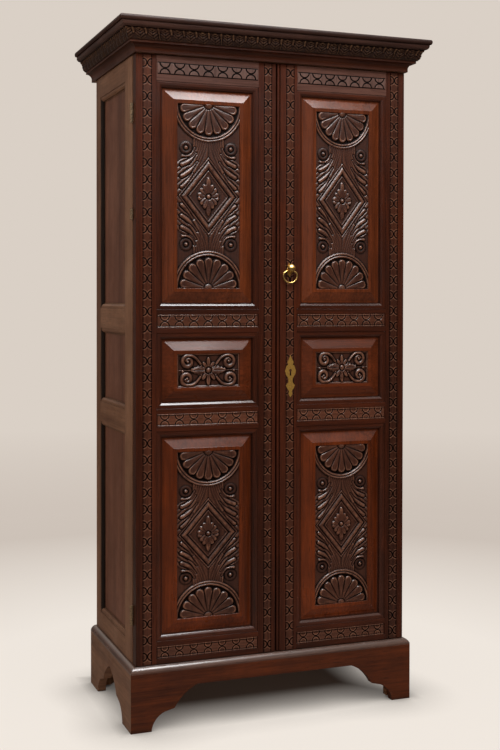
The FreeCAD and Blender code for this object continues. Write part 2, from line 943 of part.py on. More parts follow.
def hinge_case_leaf(z, length):
    third = length / 3
    low = z - length / 2
    piece = leaf_plate(z, length, case_front, leaf_sink).cut(knuckle_room(low + third, low + 2 * third))
    pin = on_hinge_axis(rod_between, pin_radius, low + third, low + 2 * third)
    return piece.fuse([knuckle(low, low + third), knuckle(low + 2 * third, low + length),
                       pin]).removeSplitter()


def hinge_door_leaf(z, length):
    third = length / 3
    low = z - length / 2
    piece = leaf_plate(z, length, door_thickness, -leaf_sink)
    piece = piece.cut([knuckle_room(low - overrun, low + third + knuckle_play),
                       knuckle_room(low + 2 * third - knuckle_play, low + length + overrun)])
    piece = piece.fuse(knuckle(low + third + knuckle_play, low + 2 * third - knuckle_play))
    bore = on_hinge_axis(rod_between, pin_radius + pin_clearance, low, low + length)
    return piece.cut(bore).removeSplitter()


def hinge_leaves(maker):
    return [maker(z, length) for z, length in zip(hinge_heights, hinge_lengths)]


# Doors

def hinge_stile_piece(frame, high_side):
    piece = frame.stile(high_side)
    for z, length in zip(hinge_heights, hinge_lengths):
        plate = leaf_plate(z, length, door_thickness, -leaf_sink)
        piece = piece.cut(plate if high_side else mirrored(plate))
    return piece


def door_rail(frame, number):
    """Door rail with a sunk band along the middle of its face, which the top rail lacks."""
    piece = frame.rail(number)
    if number < len(band_widths):
        low, high = frame.rails[number]
        margin = (high - low - band_widths[number]) / 2
        piece = piece.cut(block(frame.opening_x[0], frame.opening_x[1], -overrun, band_depth,
                                low + margin, high - margin))
    return piece


def keyhole(y_low, y_high, play):
    """Keyhole through y_low to y_high: a round top with a straight slot below it."""
    radius = keyhole_radius + play
    top = lock_height + keyhole_height / 2 - keyhole_radius
    slot = keyhole_slot_width / 2 + play
    round_part = rod_between(radius, Vector(keyhole_x, y_low, top), Vector(keyhole_x, y_high, top))
    return round_part.fuse(block(keyhole_x - slot, keyhole_x + slot, y_low, y_high,
                                 lock_height - keyhole_height / 2 - play, top))


def right_meeting_stile():
    return right_door.stile(False).cut(keyhole(-overrun, door_thickness + overrun, 0))


def closing_bead():
    low = right_door_edge
    high = low + closing_bead_width
    radius = closing_bead_radius
    start = (low, door_thickness)
    steps = [(low, radius), ((low + radius, 0), (low + 2 * radius, radius)), (high, radius),
             (high, door_thickness)]
    face = outline(start, steps, in_xy)
    face.translate(Vector(0, 0, door_bottom))
    return face.extrude(Vector(0, 0, door_top - door_bottom))


# Lock

def bolt_block(play):
    x_low = right_door_edge + lock_edge_margin + bolt_nose_margin
    y_middle = door_thickness + lock_case_thickness / 2
    return block(x_low - play, x_low + bolt_length + play,
                 y_middle - bolt_thickness / 2 - play, y_middle + bolt_thickness / 2 + play,
                 lock_height - bolt_width / 2 - play, lock_height + bolt_width / 2 + play)


def lock_case():
    x_low = right_door_edge + lock_edge_margin
    piece = block(x_low, x_low + lock_case_width, door_thickness, door_thickness + lock_case_thickness,
                  lock_height - lock_case_height / 2, lock_height + lock_case_height / 2)
    mouth = bolt_block(bolt_play)
    mouth = mouth.fuse(mouth.translated(Vector(-bolt_nose_margin - overrun, 0, 0)))
    hole_depth = door_thickness + lock_case_thickness / 2
    return piece.cut([mouth, keyhole(door_thickness - overrun, hole_depth, 0)])


def lock_keeper():
    x_high = left_door_edge - lock_edge_margin
    y_high = door_thickness + lock_case_thickness
    piece = block(x_high - keeper_width, x_high, door_thickness, y_high,
                  lock_height - keeper_height / 2, lock_height + keeper_height / 2)
    y_middle = door_thickness + lock_case_thickness / 2
    pocket = block(x_high - keeper_width + keeper_wall, x_high + overrun,
                   y_middle - bolt_thickness / 2 - keeper_play, y_middle + bolt_thickness / 2 + keeper_play,
                   lock_height - bolt_width / 2 - keeper_play, lock_height + bolt_width / 2 + keeper_play)
    return piece.cut(pocket)


# Half outline of the escutcheon: (share of the half width, share of the height from the top)
escutcheon_half_shares = (
    (0.20, 0.075), (0.58, 0.172), (0.40, 0.232), (0.70, 0.25), (1.0, 0.38), (0.84, 0.46),
    (0.40, 0.56), (0.38, 0.65), (0.82, 0.718), (0.62, 0.785), (0.23, 0.862), (0.37, 0.911),
    (0.26, 0.952),
)


def plate_outline(half_shares, half_width, height, x, top, thickness):
    """Flat plate on the door face with the same outline on both sides of x."""
    right = [(x + w * half_width, top - h * height) for w, h in half_shares]
    left = [(2 * x - a, b) for a, b in reversed(right)]
    face = outline((x, top), right + [(x, top - height)] + left, in_xz)
    return face.extrude(Vector(0, -thickness, 0))


def escutcheon():
    top = lock_height + escutcheon_keyhole_drop
    plate = plate_outline(escutcheon_half_shares, escutcheon_half_width, escutcheon_height,
                          keyhole_x, top, escutcheon_thickness)
    return plate.cut(keyhole(-escutcheon_thickness - overrun, overrun, 0))


# Ring pull

pull_plate_half_shares = ((0.25, 0.10), (0.55, 0.22), (0.45, 0.32), (1.0, 0.52), (0.6, 0.78), (0.25, 0.9))


def pull_backplate():
    """Shaped plate with a lug on a web, whose bore holds the ring's two ends."""
    height = pull_plate_top + pull_plate_bottom
    plate = plate_outline(pull_plate_half_shares, pull_plate_half_width, height, pull_x,
                          pull_height + pull_plate_top, pull_plate_thickness)
    low = pull_x - pull_lug_length / 2
    high = pull_x + pull_lug_length / 2
    web = block(low, high, pull_axis_y, -pull_plate_thickness,
                pull_height - pull_web_height / 2, pull_height + pull_web_height / 2)
    lug = many_sided_rod(pull_lug_radius, Vector(low, pull_axis_y, pull_height),
                         Vector(high, pull_axis_y, pull_height))
    bore = rod_between(ring_pin_radius + ring_pin_clearance,
                       Vector(low - overrun, pull_axis_y, pull_height),
                       Vector(high + overrun, pull_axis_y, pull_height))
    return plate.fuse([web, lug]).cut(bore).removeSplitter()


def pull_knob():
    """Knob with flat facets: straight neck, flared back and stepped bevels up to its crown."""
    steps = [
        (knob_neck_radius, pull_plate_thickness),
        (knob_neck_radius, knob_throat),
        (knob_radius, knob_rim),
        (knob_radius, knob_shoulder),
        (knob_radius * knob_bevel_share, knob_bevel),
        (knob_radius * knob_crown_share, knob_front),
    ]
    turn = 2 * math.pi / knob_sides
    rings = [[Vector(pull_x + radius * math.cos(n * turn), -out,
                     pull_height + knob_rise + radius * math.sin(n * turn)) for n in range(knob_sides)]
             for radius, out in steps]
    return flat_faced(rings)


def pull_ring():
    """Drop ring: two round pins, short stubs, flared shoulders and a half circle of short runs."""
    stub = pull_lug_length / 2 + rub_clearance
    reach = stub + ring_wire_radius
    path = [(-reach, 0)]
    for n in range(ring_runs + 1):
        angle = math.pi * n / ring_runs
        path.append((-ring_radius * math.cos(angle), -ring_drop - ring_radius * math.sin(angle)))
    path += [(reach, 0), (stub, 0)]
    spine = open_path((-stub, 0), path,
                      lambda along, up: Vector(pull_x + along, pull_axis_y, pull_height + up))
    section = many_sided_face(ring_wire_radius, small_rod_sides).OuterWire
    section.Placement = FreeCAD.Placement(Vector(pull_x - stub, pull_axis_y, pull_height),
                                          FreeCAD.Rotation(Vector(0, 0, 1), Vector(-1, 0, 0)))
    ring = spine.makePipeShell([section], True, False, 1)
    for sign in (-1, 1):
        root = Vector(pull_x + sign * reach, pull_axis_y, pull_height)
        tip = Vector(pull_x + sign * (stub - ring_pin_length), pull_axis_y, pull_height)
        ring = ring.fuse(rod_between(ring_pin_radius, root, tip))
    return ring.removeSplitter()


# Bolts behind the left door

def bar_block(play, z_low, z_high):
    return block(bar_x - bar_width / 2 - play, bar_x + bar_width / 2 + play,
                 bar_front - play, bar_back + play, z_low, z_high)


def bolt_bar(tip_z, inward):
    """Flat bolt with a thumb piece. Its tip is at tip_z and its body runs inward from there."""
    ends = sorted((tip_z, tip_z + inward * bar_length))
    thumb_z = tip_z + inward * (bolt_plate_from_tip + bolt_plate_length / 2)
    thumb = block(bar_x - thumb_width / 2, bar_x + thumb_width / 2, bar_front, bar_back + thumb_length,
                  thumb_z - thumb_height / 2, thumb_z + thumb_height / 2)
    return bar_block(0, ends[0], ends[1]).fuse(thumb).removeSplitter()


def bolt_plate(tip_z, inward):
    """Backplate with two staples over the bar."""
    ends = sorted((tip_z + inward * bolt_plate_from_tip,
                   tip_z + inward * (bolt_plate_from_tip + bolt_plate_length)))
    plate = block(bar_x - bolt_plate_width / 2, bar_x + bolt_plate_width / 2,
                  door_thickness, door_thickness + bolt_plate_thickness, ends[0], ends[1])
    reach = bar_width / 2 + bar_play + staple_wall
    staples = []
    for low in (ends[0], ends[1] - staple_length):
        staples.append(block(bar_x - reach, bar_x + reach, door_thickness,
                             bar_back + bar_play + staple_wall, low, low + staple_length))
    hole = bar_block(bar_play, ends[0] - overrun, ends[1] + overrun)
    return plate.fuse(staples).cut(hole).removeSplitter()


upper_tip = top_rail_bottom - bar_rest_gap
lower_tip = floor_top + bar_rest_gap

nodes = {
    "plinth_front": plinth_front_board(),
    "plinth_right": plinth_right_board(),
    "plinth_left": mirrored(plinth_right_board()),
    "plinth_back": plinth_back_board(),
    "glue_blocks": glue_blocks(),
    "base_moulding": base_mouldings(),
    "bottom_board": bottom_board(),
    "top_board": top_board(),
    "front_top_rail": front_top_rail(),
    "back_boards": back_boards(),
    "shelves": shelves(),
    "shelf_bearers": shelf_bearers(),
    "cornice_frame": cornice_frame(),
    "cornice_cove": cornice_cove(),
    "cornice_leaf_band": cornice_leaf_band(),
    "cornice_roll": cornice_roll(),
    "cornice_top_board": cornice_top_board(),
    "right_hinge_case_leaves": hinge_leaves(hinge_case_leaf),
    "right_hinge_door_leaves": hinge_leaves(hinge_door_leaf),
    "left_hinge_case_leaves": [mirrored(leaf) for leaf in hinge_leaves(hinge_case_leaf)],
    "left_hinge_door_leaves": [mirrored(leaf) for leaf in hinge_leaves(hinge_door_leaf)],
    "left_door_hinge_stile": hinge_stile_piece(left_door, False),
    "left_door_meeting_stile": left_door.stile(True),
    "right_door_hinge_stile": hinge_stile_piece(right_door, True),
    "right_door_meeting_stile": right_meeting_stile(),
    "right_door_closing_bead": closing_bead(),
    "lock_case": lock_case(),
    "lock_bolt": bolt_block(0),
    "lock_keeper": lock_keeper(),
    "escutcheon": escutcheon(),
    "pull_backplate": pull_backplate(),
    "pull_knob": pull_knob(),
    "pull_ring": pull_ring(),
    "upper_bolt": bolt_bar(upper_tip, -1),
    "lower_bolt": bolt_bar(lower_tip, 1),
    "bolt_plates": [bolt_plate(upper_tip, -1), bolt_plate(lower_tip, 1)],
}

right_side = {
    "side_front_stile": [side_front_stile_piece()],
    "side_back_stile": [side_back_stile_piece()],
    "side_rails": side_rail_pieces(),
    "side_panels": side_panel_pieces(),
}
for name, pieces in right_side.items():
    nodes["right_" + name] = pieces
    nodes["left_" + name] = [mirrored(piece) for piece in pieces]

rail_names = ("bottom_rail", "lower_rail", "upper_rail", "top_rail")
panel_names = ("lower_panel", "middle_panel", "upper_panel")
for side, frame in (("left_door_", left_door), ("right_door_", right_door)):
    for number, name in enumerate(rail_names):
        nodes[side + name] = door_rail(frame, number)
    for number, name in enumerate(panel_names):
        nodes[side + name] = frame.raised_panel(number)

to_origin = Vector(0, -half_depth_middle, 0)
for name, shape in nodes.items():
    if isinstance(shape, list):
        shape = Part.makeCompound(shape)
    shape = shape.translated(to_origin)
    for solid in shape.Solids:
        if not solid.isValid():
            print("not valid:", name)
    shape.exportStep("parts/" + name + ".step")
print(len(nodes), "nodes written")
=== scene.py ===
"""Dresses the tall carved cupboard: its carving, polish, brass and the studio round it.

Sizes are in millimetres and places are given as the cabinet was drawn: X to the right, Y to
the back with the doors' faces at Y = 0, and Z up from the floor. in_frame turns them into
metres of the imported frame.
"""

import logging
import math
from abc import ABC, abstractmethod
from collections.abc import Callable
from dataclasses import dataclass, replace
from enum import Enum

import bpy
import numpy as np
from mathutils import Matrix, Vector


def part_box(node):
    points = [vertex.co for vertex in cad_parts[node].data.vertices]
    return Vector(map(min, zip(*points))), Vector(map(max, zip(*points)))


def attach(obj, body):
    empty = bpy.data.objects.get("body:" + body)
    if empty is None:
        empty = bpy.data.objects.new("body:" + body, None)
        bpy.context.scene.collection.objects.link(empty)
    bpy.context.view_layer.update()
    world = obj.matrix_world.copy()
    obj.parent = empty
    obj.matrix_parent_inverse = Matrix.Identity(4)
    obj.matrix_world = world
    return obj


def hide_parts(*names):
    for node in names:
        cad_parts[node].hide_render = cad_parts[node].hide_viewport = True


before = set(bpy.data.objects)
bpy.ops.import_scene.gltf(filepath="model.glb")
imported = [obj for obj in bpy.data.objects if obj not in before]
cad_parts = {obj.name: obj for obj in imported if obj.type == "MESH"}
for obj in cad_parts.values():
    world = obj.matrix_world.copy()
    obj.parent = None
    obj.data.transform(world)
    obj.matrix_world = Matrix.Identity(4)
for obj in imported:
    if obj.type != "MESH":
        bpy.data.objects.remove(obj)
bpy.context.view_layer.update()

MM = 0.001
DOOR_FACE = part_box("left_door_top_rail")[0].y
TINY = 1e-6
FLOAT, VECTOR = "NodeSocketFloat", "NodeSocketVector"
WHITE = (1, 1, 1, 1)
# The second colour darkens hollows and corners of wood: dirt, and painted shade.
PORE_COLOUR, DIRT_AND_SHADE_COLOUR, DUST_COLOUR = (16, 7, 4), (6, 3, 2), (112, 90, 80)

Pair = tuple[float, float]
Triple = tuple[float, float, float]
Grids = tuple[np.ndarray, np.ndarray, np.ndarray]
Place = Callable[[np.ndarray, np.ndarray, np.ndarray], np.ndarray]
Value = float | tuple | bpy.types.NodeSocket
Sockets = bpy.types.bpy_prop_collection

logging.basicConfig(level=logging.INFO, format="%(levelname)s %(message)s")
log = logging.getLogger("cabinet")


# Shapes worked out as arrays

def in_frame(x: np.ndarray, y: np.ndarray, z: np.ndarray) -> np.ndarray:
    """Points drawn in millimetres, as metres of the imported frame.

    Args:
        x: Distance to the right of the middle.
        y: Distance behind the doors' faces.
        z: Height above the floor.

    Returns:
        Array with a last axis of three.
    """
    x, y, z = np.broadcast_arrays(x, y, z)
    return np.stack([x * MM, y * MM + DOOR_FACE, z * MM], axis=-1)


def drawn_box(node: str) -> tuple[np.ndarray, np.ndarray]:
    """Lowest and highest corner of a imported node, in drawn millimetres."""
    low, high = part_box(node)
    shift = Vector((0, DOOR_FACE, 0))
    return np.array(low - shift) / MM, np.array(high - shift) / MM


def eased(value: np.ndarray, start: float, end: float) -> np.ndarray:
    """Smooth step: 0 before start, 1 after end, and three squares less two cubes between."""
    share = np.clip((value - start) / (end - start), 0, 1)
    return share * share * (3 - 2 * share)


def swell(distance: np.ndarray, half_width: np.ndarray, height: float) -> np.ndarray:
    """Round-topped ridge: height times the cosine of a quarter turn at its half width."""
    share = np.clip(np.abs(distance) / half_width, 0, 1)
    return height * np.cos(share * math.pi / 2)


def dome(distance: np.ndarray, radius: float, height: float) -> np.ndarray:
    """Round boss: height times the root of one less the squared share of the radius."""
    return height * np.sqrt(np.clip(1 - (distance / radius) ** 2, 0, 1))


def bezier(*corners: Pair, count: int = 26) -> np.ndarray:
    """Points of a cubic curve, the sum of its four corners each times its Bernstein share."""
    t = np.linspace(0, 1, count)[:, None]
    a, b, c, d = (np.array(corner, float) for corner in corners)
    return (1 - t) ** 3 * a + 3 * t * (1 - t) ** 2 * b + 3 * t ** 2 * (1 - t) * c + t ** 3 * d


def spiral(centre: Pair, turn: Pair, radius: Pair, count: int = 40) -> np.ndarray:
    """Points of a scroll round centre, whose radius changes evenly with its angle in degrees."""
    angle = np.radians(np.linspace(turn[0], turn[1], count))
    reach = np.linspace(radius[0], radius[1], count)
    return np.stack([centre[0] + reach * np.cos(angle), centre[1] + reach * np.sin(angle)], axis=-1)


def to_curve(u: np.ndarray, v: np.ndarray, curve: np.ndarray) -> tuple[np.ndarray, np.ndarray]:
    """Least distance from every point to a line of points.

    Each run of the line takes the foot of the perpendicular, held between the run's ends.

    Args:
        u: Points' places across.
        v: Points' places up.
        curve: Line of points, one per row.

    Returns:
        The distances, and how far along the line the nearest place is, from 0 to 1.
    """
    gap = np.full(u.shape, np.inf)
    along = np.zeros(u.shape)
    runs = len(curve) - 1
    for number in range(runs):
        start, run = curve[number], curve[number + 1] - curve[number]
        share = np.clip(((u - start[0]) * run[0] + (v - start[1]) * run[1]) / (run @ run), 0, 1)
        here = np.hypot(u - start[0] - share * run[0], v - start[1] - share * run[1])
        nearer = here < gap
        gap = np.where(nearer, here, gap)
        along = np.where(nearer, (number + share) / runs, along)
    return gap, along


def softened(level: np.ndarray, cells: int) -> np.ndarray:
    """Heights averaged over a square of cells, by differences of running sums both ways."""
    for axis in (0, 1):
        moved = np.moveaxis(level, axis, 0)
        padded = np.concatenate([np.repeat(moved[:1], cells + 1, 0), moved,
                                 np.repeat(moved[-1:], cells, 0)])
        total = np.cumsum(padded, axis=0)
        width = 2 * cells + 1
        moved = (total[width:] - total[:-width]) / width
        level = np.moveaxis(moved, 0, axis)
    return level


def ripple(u: np.ndarray, v: np.ndarray, seed: int) -> np.ndarray:
    """Uneven tool marks, the mean of a few sine waves with seeded directions and lengths."""
    random = np.random.default_rng(seed)
    total = np.zeros(np.broadcast(u, v).shape)
    waves = 7
    for _ in range(waves):
        angle, length, phase = random.uniform(0, math.pi), random.uniform(5, 17), random.uniform(0, 6.3)
        total += np.sin((u * math.cos(angle) + v * math.sin(angle)) * 2 * math.pi / length + phase)
    return total / waves


def linked(name: str, data: bpy.types.ID) -> bpy.types.Object:
    """New object with this data in the scene."""
    made = bpy.data.objects.new(name, data)
    bpy.context.scene.collection.objects.link(made)
    return made


def shell_object(name: str, front: np.ndarray, back: np.ndarray, carve: np.ndarray) -> bpy.types.Object:
    """Closed piece between a fine front grid and a back of few rows.

    The first and last rows of both grids are joined by strips, and the ends by one face each.

    Args:
        name: The piece's name.
        front: Grid of points, rows upward and columns to the viewer's right.
        back: Grid with as many columns, behind the front.
        carve: For each front point, how far it stands over the surface round it, in millimetres.

    Returns:
        The linked object.
    """
    rows, columns, _ = front.shape
    back_rows = len(back)
    place = np.arange(rows * columns).reshape(rows, columns)
    under = rows * columns + np.arange(back_rows * columns).reshape(back_rows, columns)

    def quads(a: np.ndarray, b: np.ndarray, c: np.ndarray, d: np.ndarray) -> np.ndarray:
        """Four-cornered faces from arrays of their corners."""
        return np.stack([a, b, c, d], axis=-1).reshape(-1, 4)

    faces = np.concatenate([
        quads(place[:-1, :-1], place[:-1, 1:], place[1:, 1:], place[1:, :-1]),
        quads(under[:-1, 1:], under[:-1, :-1], under[1:, :-1], under[1:, 1:]),
        quads(place[0, 1:], place[0, :-1], under[0, :-1], under[0, 1:]),
        quads(place[-1, :-1], place[-1, 1:], under[-1, 1:], under[-1, :-1]),
    ])
    ends = [np.concatenate([place[:, 0], under[::-1, 0]]), np.concatenate([place[::-1, -1], under[:, -1]])]
    corners = np.concatenate([faces.ravel(), *ends]).astype(np.int32)
    starts = np.concatenate([np.arange(len(faces)) * 4,
                             [len(faces) * 4, len(faces) * 4 + len(ends[0])]]).astype(np.int32)
    points = np.concatenate([front.reshape(-1, 3), back.reshape(-1, 3)]).astype(np.float32)
    mesh = bpy.data.meshes.new(name)
    mesh.vertices.add(len(points))
    mesh.vertices.foreach_set("co", points.ravel())
    mesh.loops.add(len(corners))
    mesh.loops.foreach_set("vertex_index", corners)
    mesh.polygons.add(len(starts))
    mesh.polygons.foreach_set("loop_start", starts)
    smooth = np.zeros(len(starts), bool)
    smooth[:(rows - 1) * (columns - 1)] = True
    mesh.polygons.foreach_set("use_smooth", smooth)
    mesh.update(calc_edges=True)
    values = np.zeros(len(points), np.float32)
    values[:rows * columns] = carve.ravel()
    mesh.attributes.new("carve", "FLOAT", "POINT").data.foreach_set("value", values)
    return linked(name, mesh)


def mesh_object(name: str, points: np.ndarray, faces: list[list[int]],
                smooth: bool = False) -> bpy.types.Object:
    """Linked object from points in metres and faces of any number of corners.

    Args:
        name: The piece's name.
        points: One point per row.
        faces: Lists of point numbers, facing outwards.
        smooth: Whether its faces are shaded as one surface.

    Returns:
        The linked object.
    """
    mesh = bpy.data.meshes.new(name)
    mesh.from_pydata(points.tolist(), [], faces)
    mesh.polygons.foreach_set("use_smooth", np.full(len(faces), smooth))
    mesh.update(calc_edges=True)
    return linked(name, mesh)


def rectangles(low: Pair, high: Pair, profile: list[Pair], place: Place) -> np.ndarray:
    """Corners of one rectangle for each profile point, inset from the edges and at its depth.

    Args:
        low: Left and lower edge.
        high: Right and upper edge.
        profile: Inset and depth of each point.
        place: Turns places across, depths and heights into metres of the frame.

    Returns:
        One corner per row, each rectangle's four anticlockwise from the lower left.
    """
    inset, depth = np.array(profile, float).T
    across = np.stack([low[0] + inset, high[0] - inset, high[0] - inset, low[0] + inset], axis=-1)
    up = np.stack([low[1] + inset, low[1] + inset, high[1] - inset, high[1] - inset], axis=-1)
    return place(across, depth[:, None], up).reshape(-1, 3)


def framed_slab(name: str, low: Pair, high: Pair, profile: list[Pair]) -> bpy.types.Object:
    """Slab whose four edges have one profile and meet in mitres.

    Neighbouring rectangles of the profile are joined by four faces, and the first and the last
    rectangle are closed by one face each.

    Args:
        name: The piece's name.
        low: Drawn left and lower edge.
        high: Drawn right and upper edge.
        profile: Inset from the edge and drawn depth of each point, from the front's middle
            outwards and round to the back's middle.

    Returns:
        The linked object.
    """
    last = 4 * (len(profile) - 1)
    faces = [[0, 1, 2, 3], [last + 3, last + 2, last + 1, last]]
    for ring in range(0, last, 4):
        for side in range(4):
            after = (side + 1) % 4
            faces.append([ring + side, ring + 4 + side, ring + 4 + after, ring + after])
    return mesh_object(name, rectangles(low, high, profile, in_frame), faces)


def framed_ring(name: str, low: Pair, high: Pair, profile: list[Pair], place: Place) -> bpy.types.Object:
    """Closed moulding round a rectangular opening, mitred at its corners.

    Neighbouring rectangles of the profile, the last with the first too, are joined by four
    faces. Level runs have material slot 0 and upright ones 1.

    Args:
        name: The piece's name.
        low: Left and lower edge of the opening.
        high: Right and upper edge of the opening.
        profile: Inset from the edge and depth of each point, in order round the section.
        place: Turns places across, depths and heights into metres of the frame.

    Returns:
        The linked object.
    """
    count = len(profile)
    faces, woods = [], []
    for number in range(count):
        ring, beyond = 4 * number, 4 * ((number + 1) % count)
        for side in range(4):
            after = (side + 1) % 4
            faces.append([ring + side, ring + after, beyond + after, beyond + side])
            woods.append(side % 2)
    piece = mesh_object(name, rectangles(low, high, profile, place), faces)
    piece.data.polygons.foreach_set("material_index", woods)
    return piece


def ride_as(piece: bpy.types.Object, body: str, slot: str, *finishes: "Finish") -> None:
    """Dresses a new piece, lets it ride on a body and reports it.

    Args:
        piece: The piece.
        body: The body it rides on.
        slot: Not used.
        finishes: One for each of its material slots.
    """
    for finish in finishes:
        piece.data.materials.append(finish.material())
    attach(piece, body)
    log.info("%s rides on %s: %d faces", piece.name, body, len(piece.data.polygons))


# Carving on flat faces

@dataclass(frozen=True)
class Ridge:
    """A round-topped ridge: its crown's distance from a line, its half width and its height."""

    at: float
    half_width: float
    height: float = 1.0

    def over(self, distance: np.ndarray) -> np.ndarray:
        """Its heights at distances from the line."""
        return swell(distance - self.at, self.half_width, self.height)


class Relief:
    """Heights over a flat rectangle, in millimetres over the floor of its recess."""

    compared_cells = (2, 5)

    def __init__(self, width: float, height: float, step: float = 1.2) -> None:
        """Lays an even grid over the rectangle, with its middle at nought."""
        columns = 2 * round(width / step / 2) + 1
        rows = 2 * round(height / step / 2) + 1
        self.width, self.height = width, height
        self.u, self.v = np.meshgrid(np.linspace(-width / 2, width / 2, columns),
                                     np.linspace(-height / 2, height / 2, rows))
        self.level = np.zeros_like(self.u)
        # Marks painted into the colour: dirt in cuts, painted shade round the eyes, and painted highlights as
        # negative values beside cuts.
        self.dirt_and_painted_light = np.zeros_like(self.u)

    def add(self, height: np.ndarray) -> None:
        """Keeps the higher of the carving so far and a new form."""
        self.level = np.maximum(self.level, height)

    def border(self) -> np.ndarray:
        """Distance of every place from the rectangle's nearest edge."""
        return np.minimum(self.width / 2 - np.abs(self.u), self.height / 2 - np.abs(self.v))

    def object(self, name: str, middle: Pair, floor_y: float, sole: float) -> bpy.types.Object:
        """Closed piece of wood with this relief on its front.

        Args:
            name: The piece's name.
            middle: Drawn place of the rectangle's middle, across and up.
            floor_y: Drawn depth of the recess's floor.
            sole: How far the piece goes into the floor.

        Returns:
            The linked object.
        """
        x, z = middle[0] + self.u, middle[1] + self.v
        front = in_frame(x, floor_y - self.level, z)
        back = in_frame(x[[0, -1]], np.full_like(x[[0, -1]], floor_y + sole), z[[0, -1]])
        # The carve attribute is height over the mean round it, less those painted marks; its hollows darken
        # for dirt and painted shade.
        around = [softened(softened(self.level, cells), cells) for cells in self.compared_cells]
        return shell_object(name, front, back, self.level - np.mean(around, axis=0) - self.dirt_and_painted_light)


@dataclass(frozen=True)
class ShellForm:
    """A half-round shell of lobes inside a double ring."""

    radius: float = 89.0
    lobes: int = 9
    lobe_base: float = 1.6
    base_edge: Pair = (0.2, 1.3)
    lobe_rise: float = 2.8
    lobe_shoulder: float = 9.0
    root_share: float = 0.45
    rim: Ridge = Ridge(3.4, 2.6, 2.1)
    rim_shares: Pair = (0.55, 0.9)
    hub_radius: float = 15.0
    hub_gap: float = 1.5
    hub_rise: float = 4.6
    rings: tuple[Ridge, ...] = (Ridge(97.0, 3.9, 4.9), Ridge(104.5, 3.9, 4.9))
    overrun: float = 0.6

    def heights(self, u: np.ndarray, down: np.ndarray) -> np.ndarray:
        """Heights of the shell, whose hub is at nought and whose lobes point down.

        A lobe is a wedge that ends in a half disc. It swells with the root of the distance
        from its edge, and a bead stands just inside that edge. The rings are round ridges.

        Args:
            u: Places across from the hub.
            down: Places below the hub.

        Returns:
            Heights over the ground.
        """
        r = np.hypot(u, down)
        turn = math.pi / self.lobes
        angle = np.arctan2(u, down)
        half = (self.lobes - 1) / 2
        local = angle - np.clip(np.round(angle / turn), -half, half) * turn
        sine = math.sin(turn / 2)
        end = self.radius / (1 + sine)
        along, aside = r * np.cos(local), r * np.sin(local)
        edge = np.where(along < end, r * np.sin(turn / 2 - np.abs(local)),
                        end * sine - np.hypot(along - end, aside))
        edge = np.where(down < 0, -1.0, edge)
        inside = np.clip(edge / self.lobe_shoulder, 0, 1)
        rise = self.root_share + (1 - self.root_share) * np.clip(r / self.radius, 0, 1)
        lobe = self.lobe_base * eased(edge, *self.base_edge) + self.lobe_rise * np.sqrt(inside) * rise
        near, far = self.rim_shares
        lobe += self.rim.over(edge) * eased(r, near * self.radius, far * self.radius)
        level = np.where((edge > 0) & (r > self.hub_radius), lobe, 0)
        level = np.maximum(level, dome(r, self.hub_radius - self.hub_gap, self.hub_rise))
        for ring in self.rings:
            level = np.maximum(level, ring.over(r))
        return np.where(down > -self.overrun, level, 0)


@dataclass(frozen=True)
class Leaf:
    """A leaf that grows from nought, with a groove along its middle."""

    length: float
    half_width: float
    height: float
    rib: float
    rib_half_width: float = 1.3
    widest_share: float = 0.6
    root_width_share: float = 0.25
    root_height_share: float = 0.65

    def heights(self, u: np.ndarray, v: np.ndarray, angle: float) -> np.ndarray:
        """Heights of the leaf, turned from straight down towards the right.

        Its width grows in line to its widest share of the length and closes in a half
        ellipse. Its section is round, less the groove.

        Args:
            u: Places across.
            v: Places up.
            angle: Direction in degrees.

        Returns:
            Heights over the ground.
        """
        turn = math.radians(angle)
        along = u * math.sin(turn) - v * math.cos(turn)
        aside = u * math.cos(turn) + v * math.sin(turn)
        share = along / self.length
        opened = np.clip(share / self.widest_share, 0, 1)
        opening = self.root_width_share + (1 - self.root_width_share) * opened
        past = np.clip(share - self.widest_share, 0, None) / (1 - self.widest_share)
        closing = np.sqrt(np.clip(1 - past ** 2, 0, 1))
        width = np.where(share > 0, self.half_width * opening * closing, 0) + TINY
        body = self.height * np.sqrt(np.clip(1 - (aside / width) ** 2, 0, 1))
        body *= self.root_height_share + (1 - self.root_height_share) * np.clip(share, 0, 1)
        body -= swell(aside, self.rib_half_width, self.rib)
        return np.where((share > 0) & (share < 1), np.clip(body, 0, None), 0)


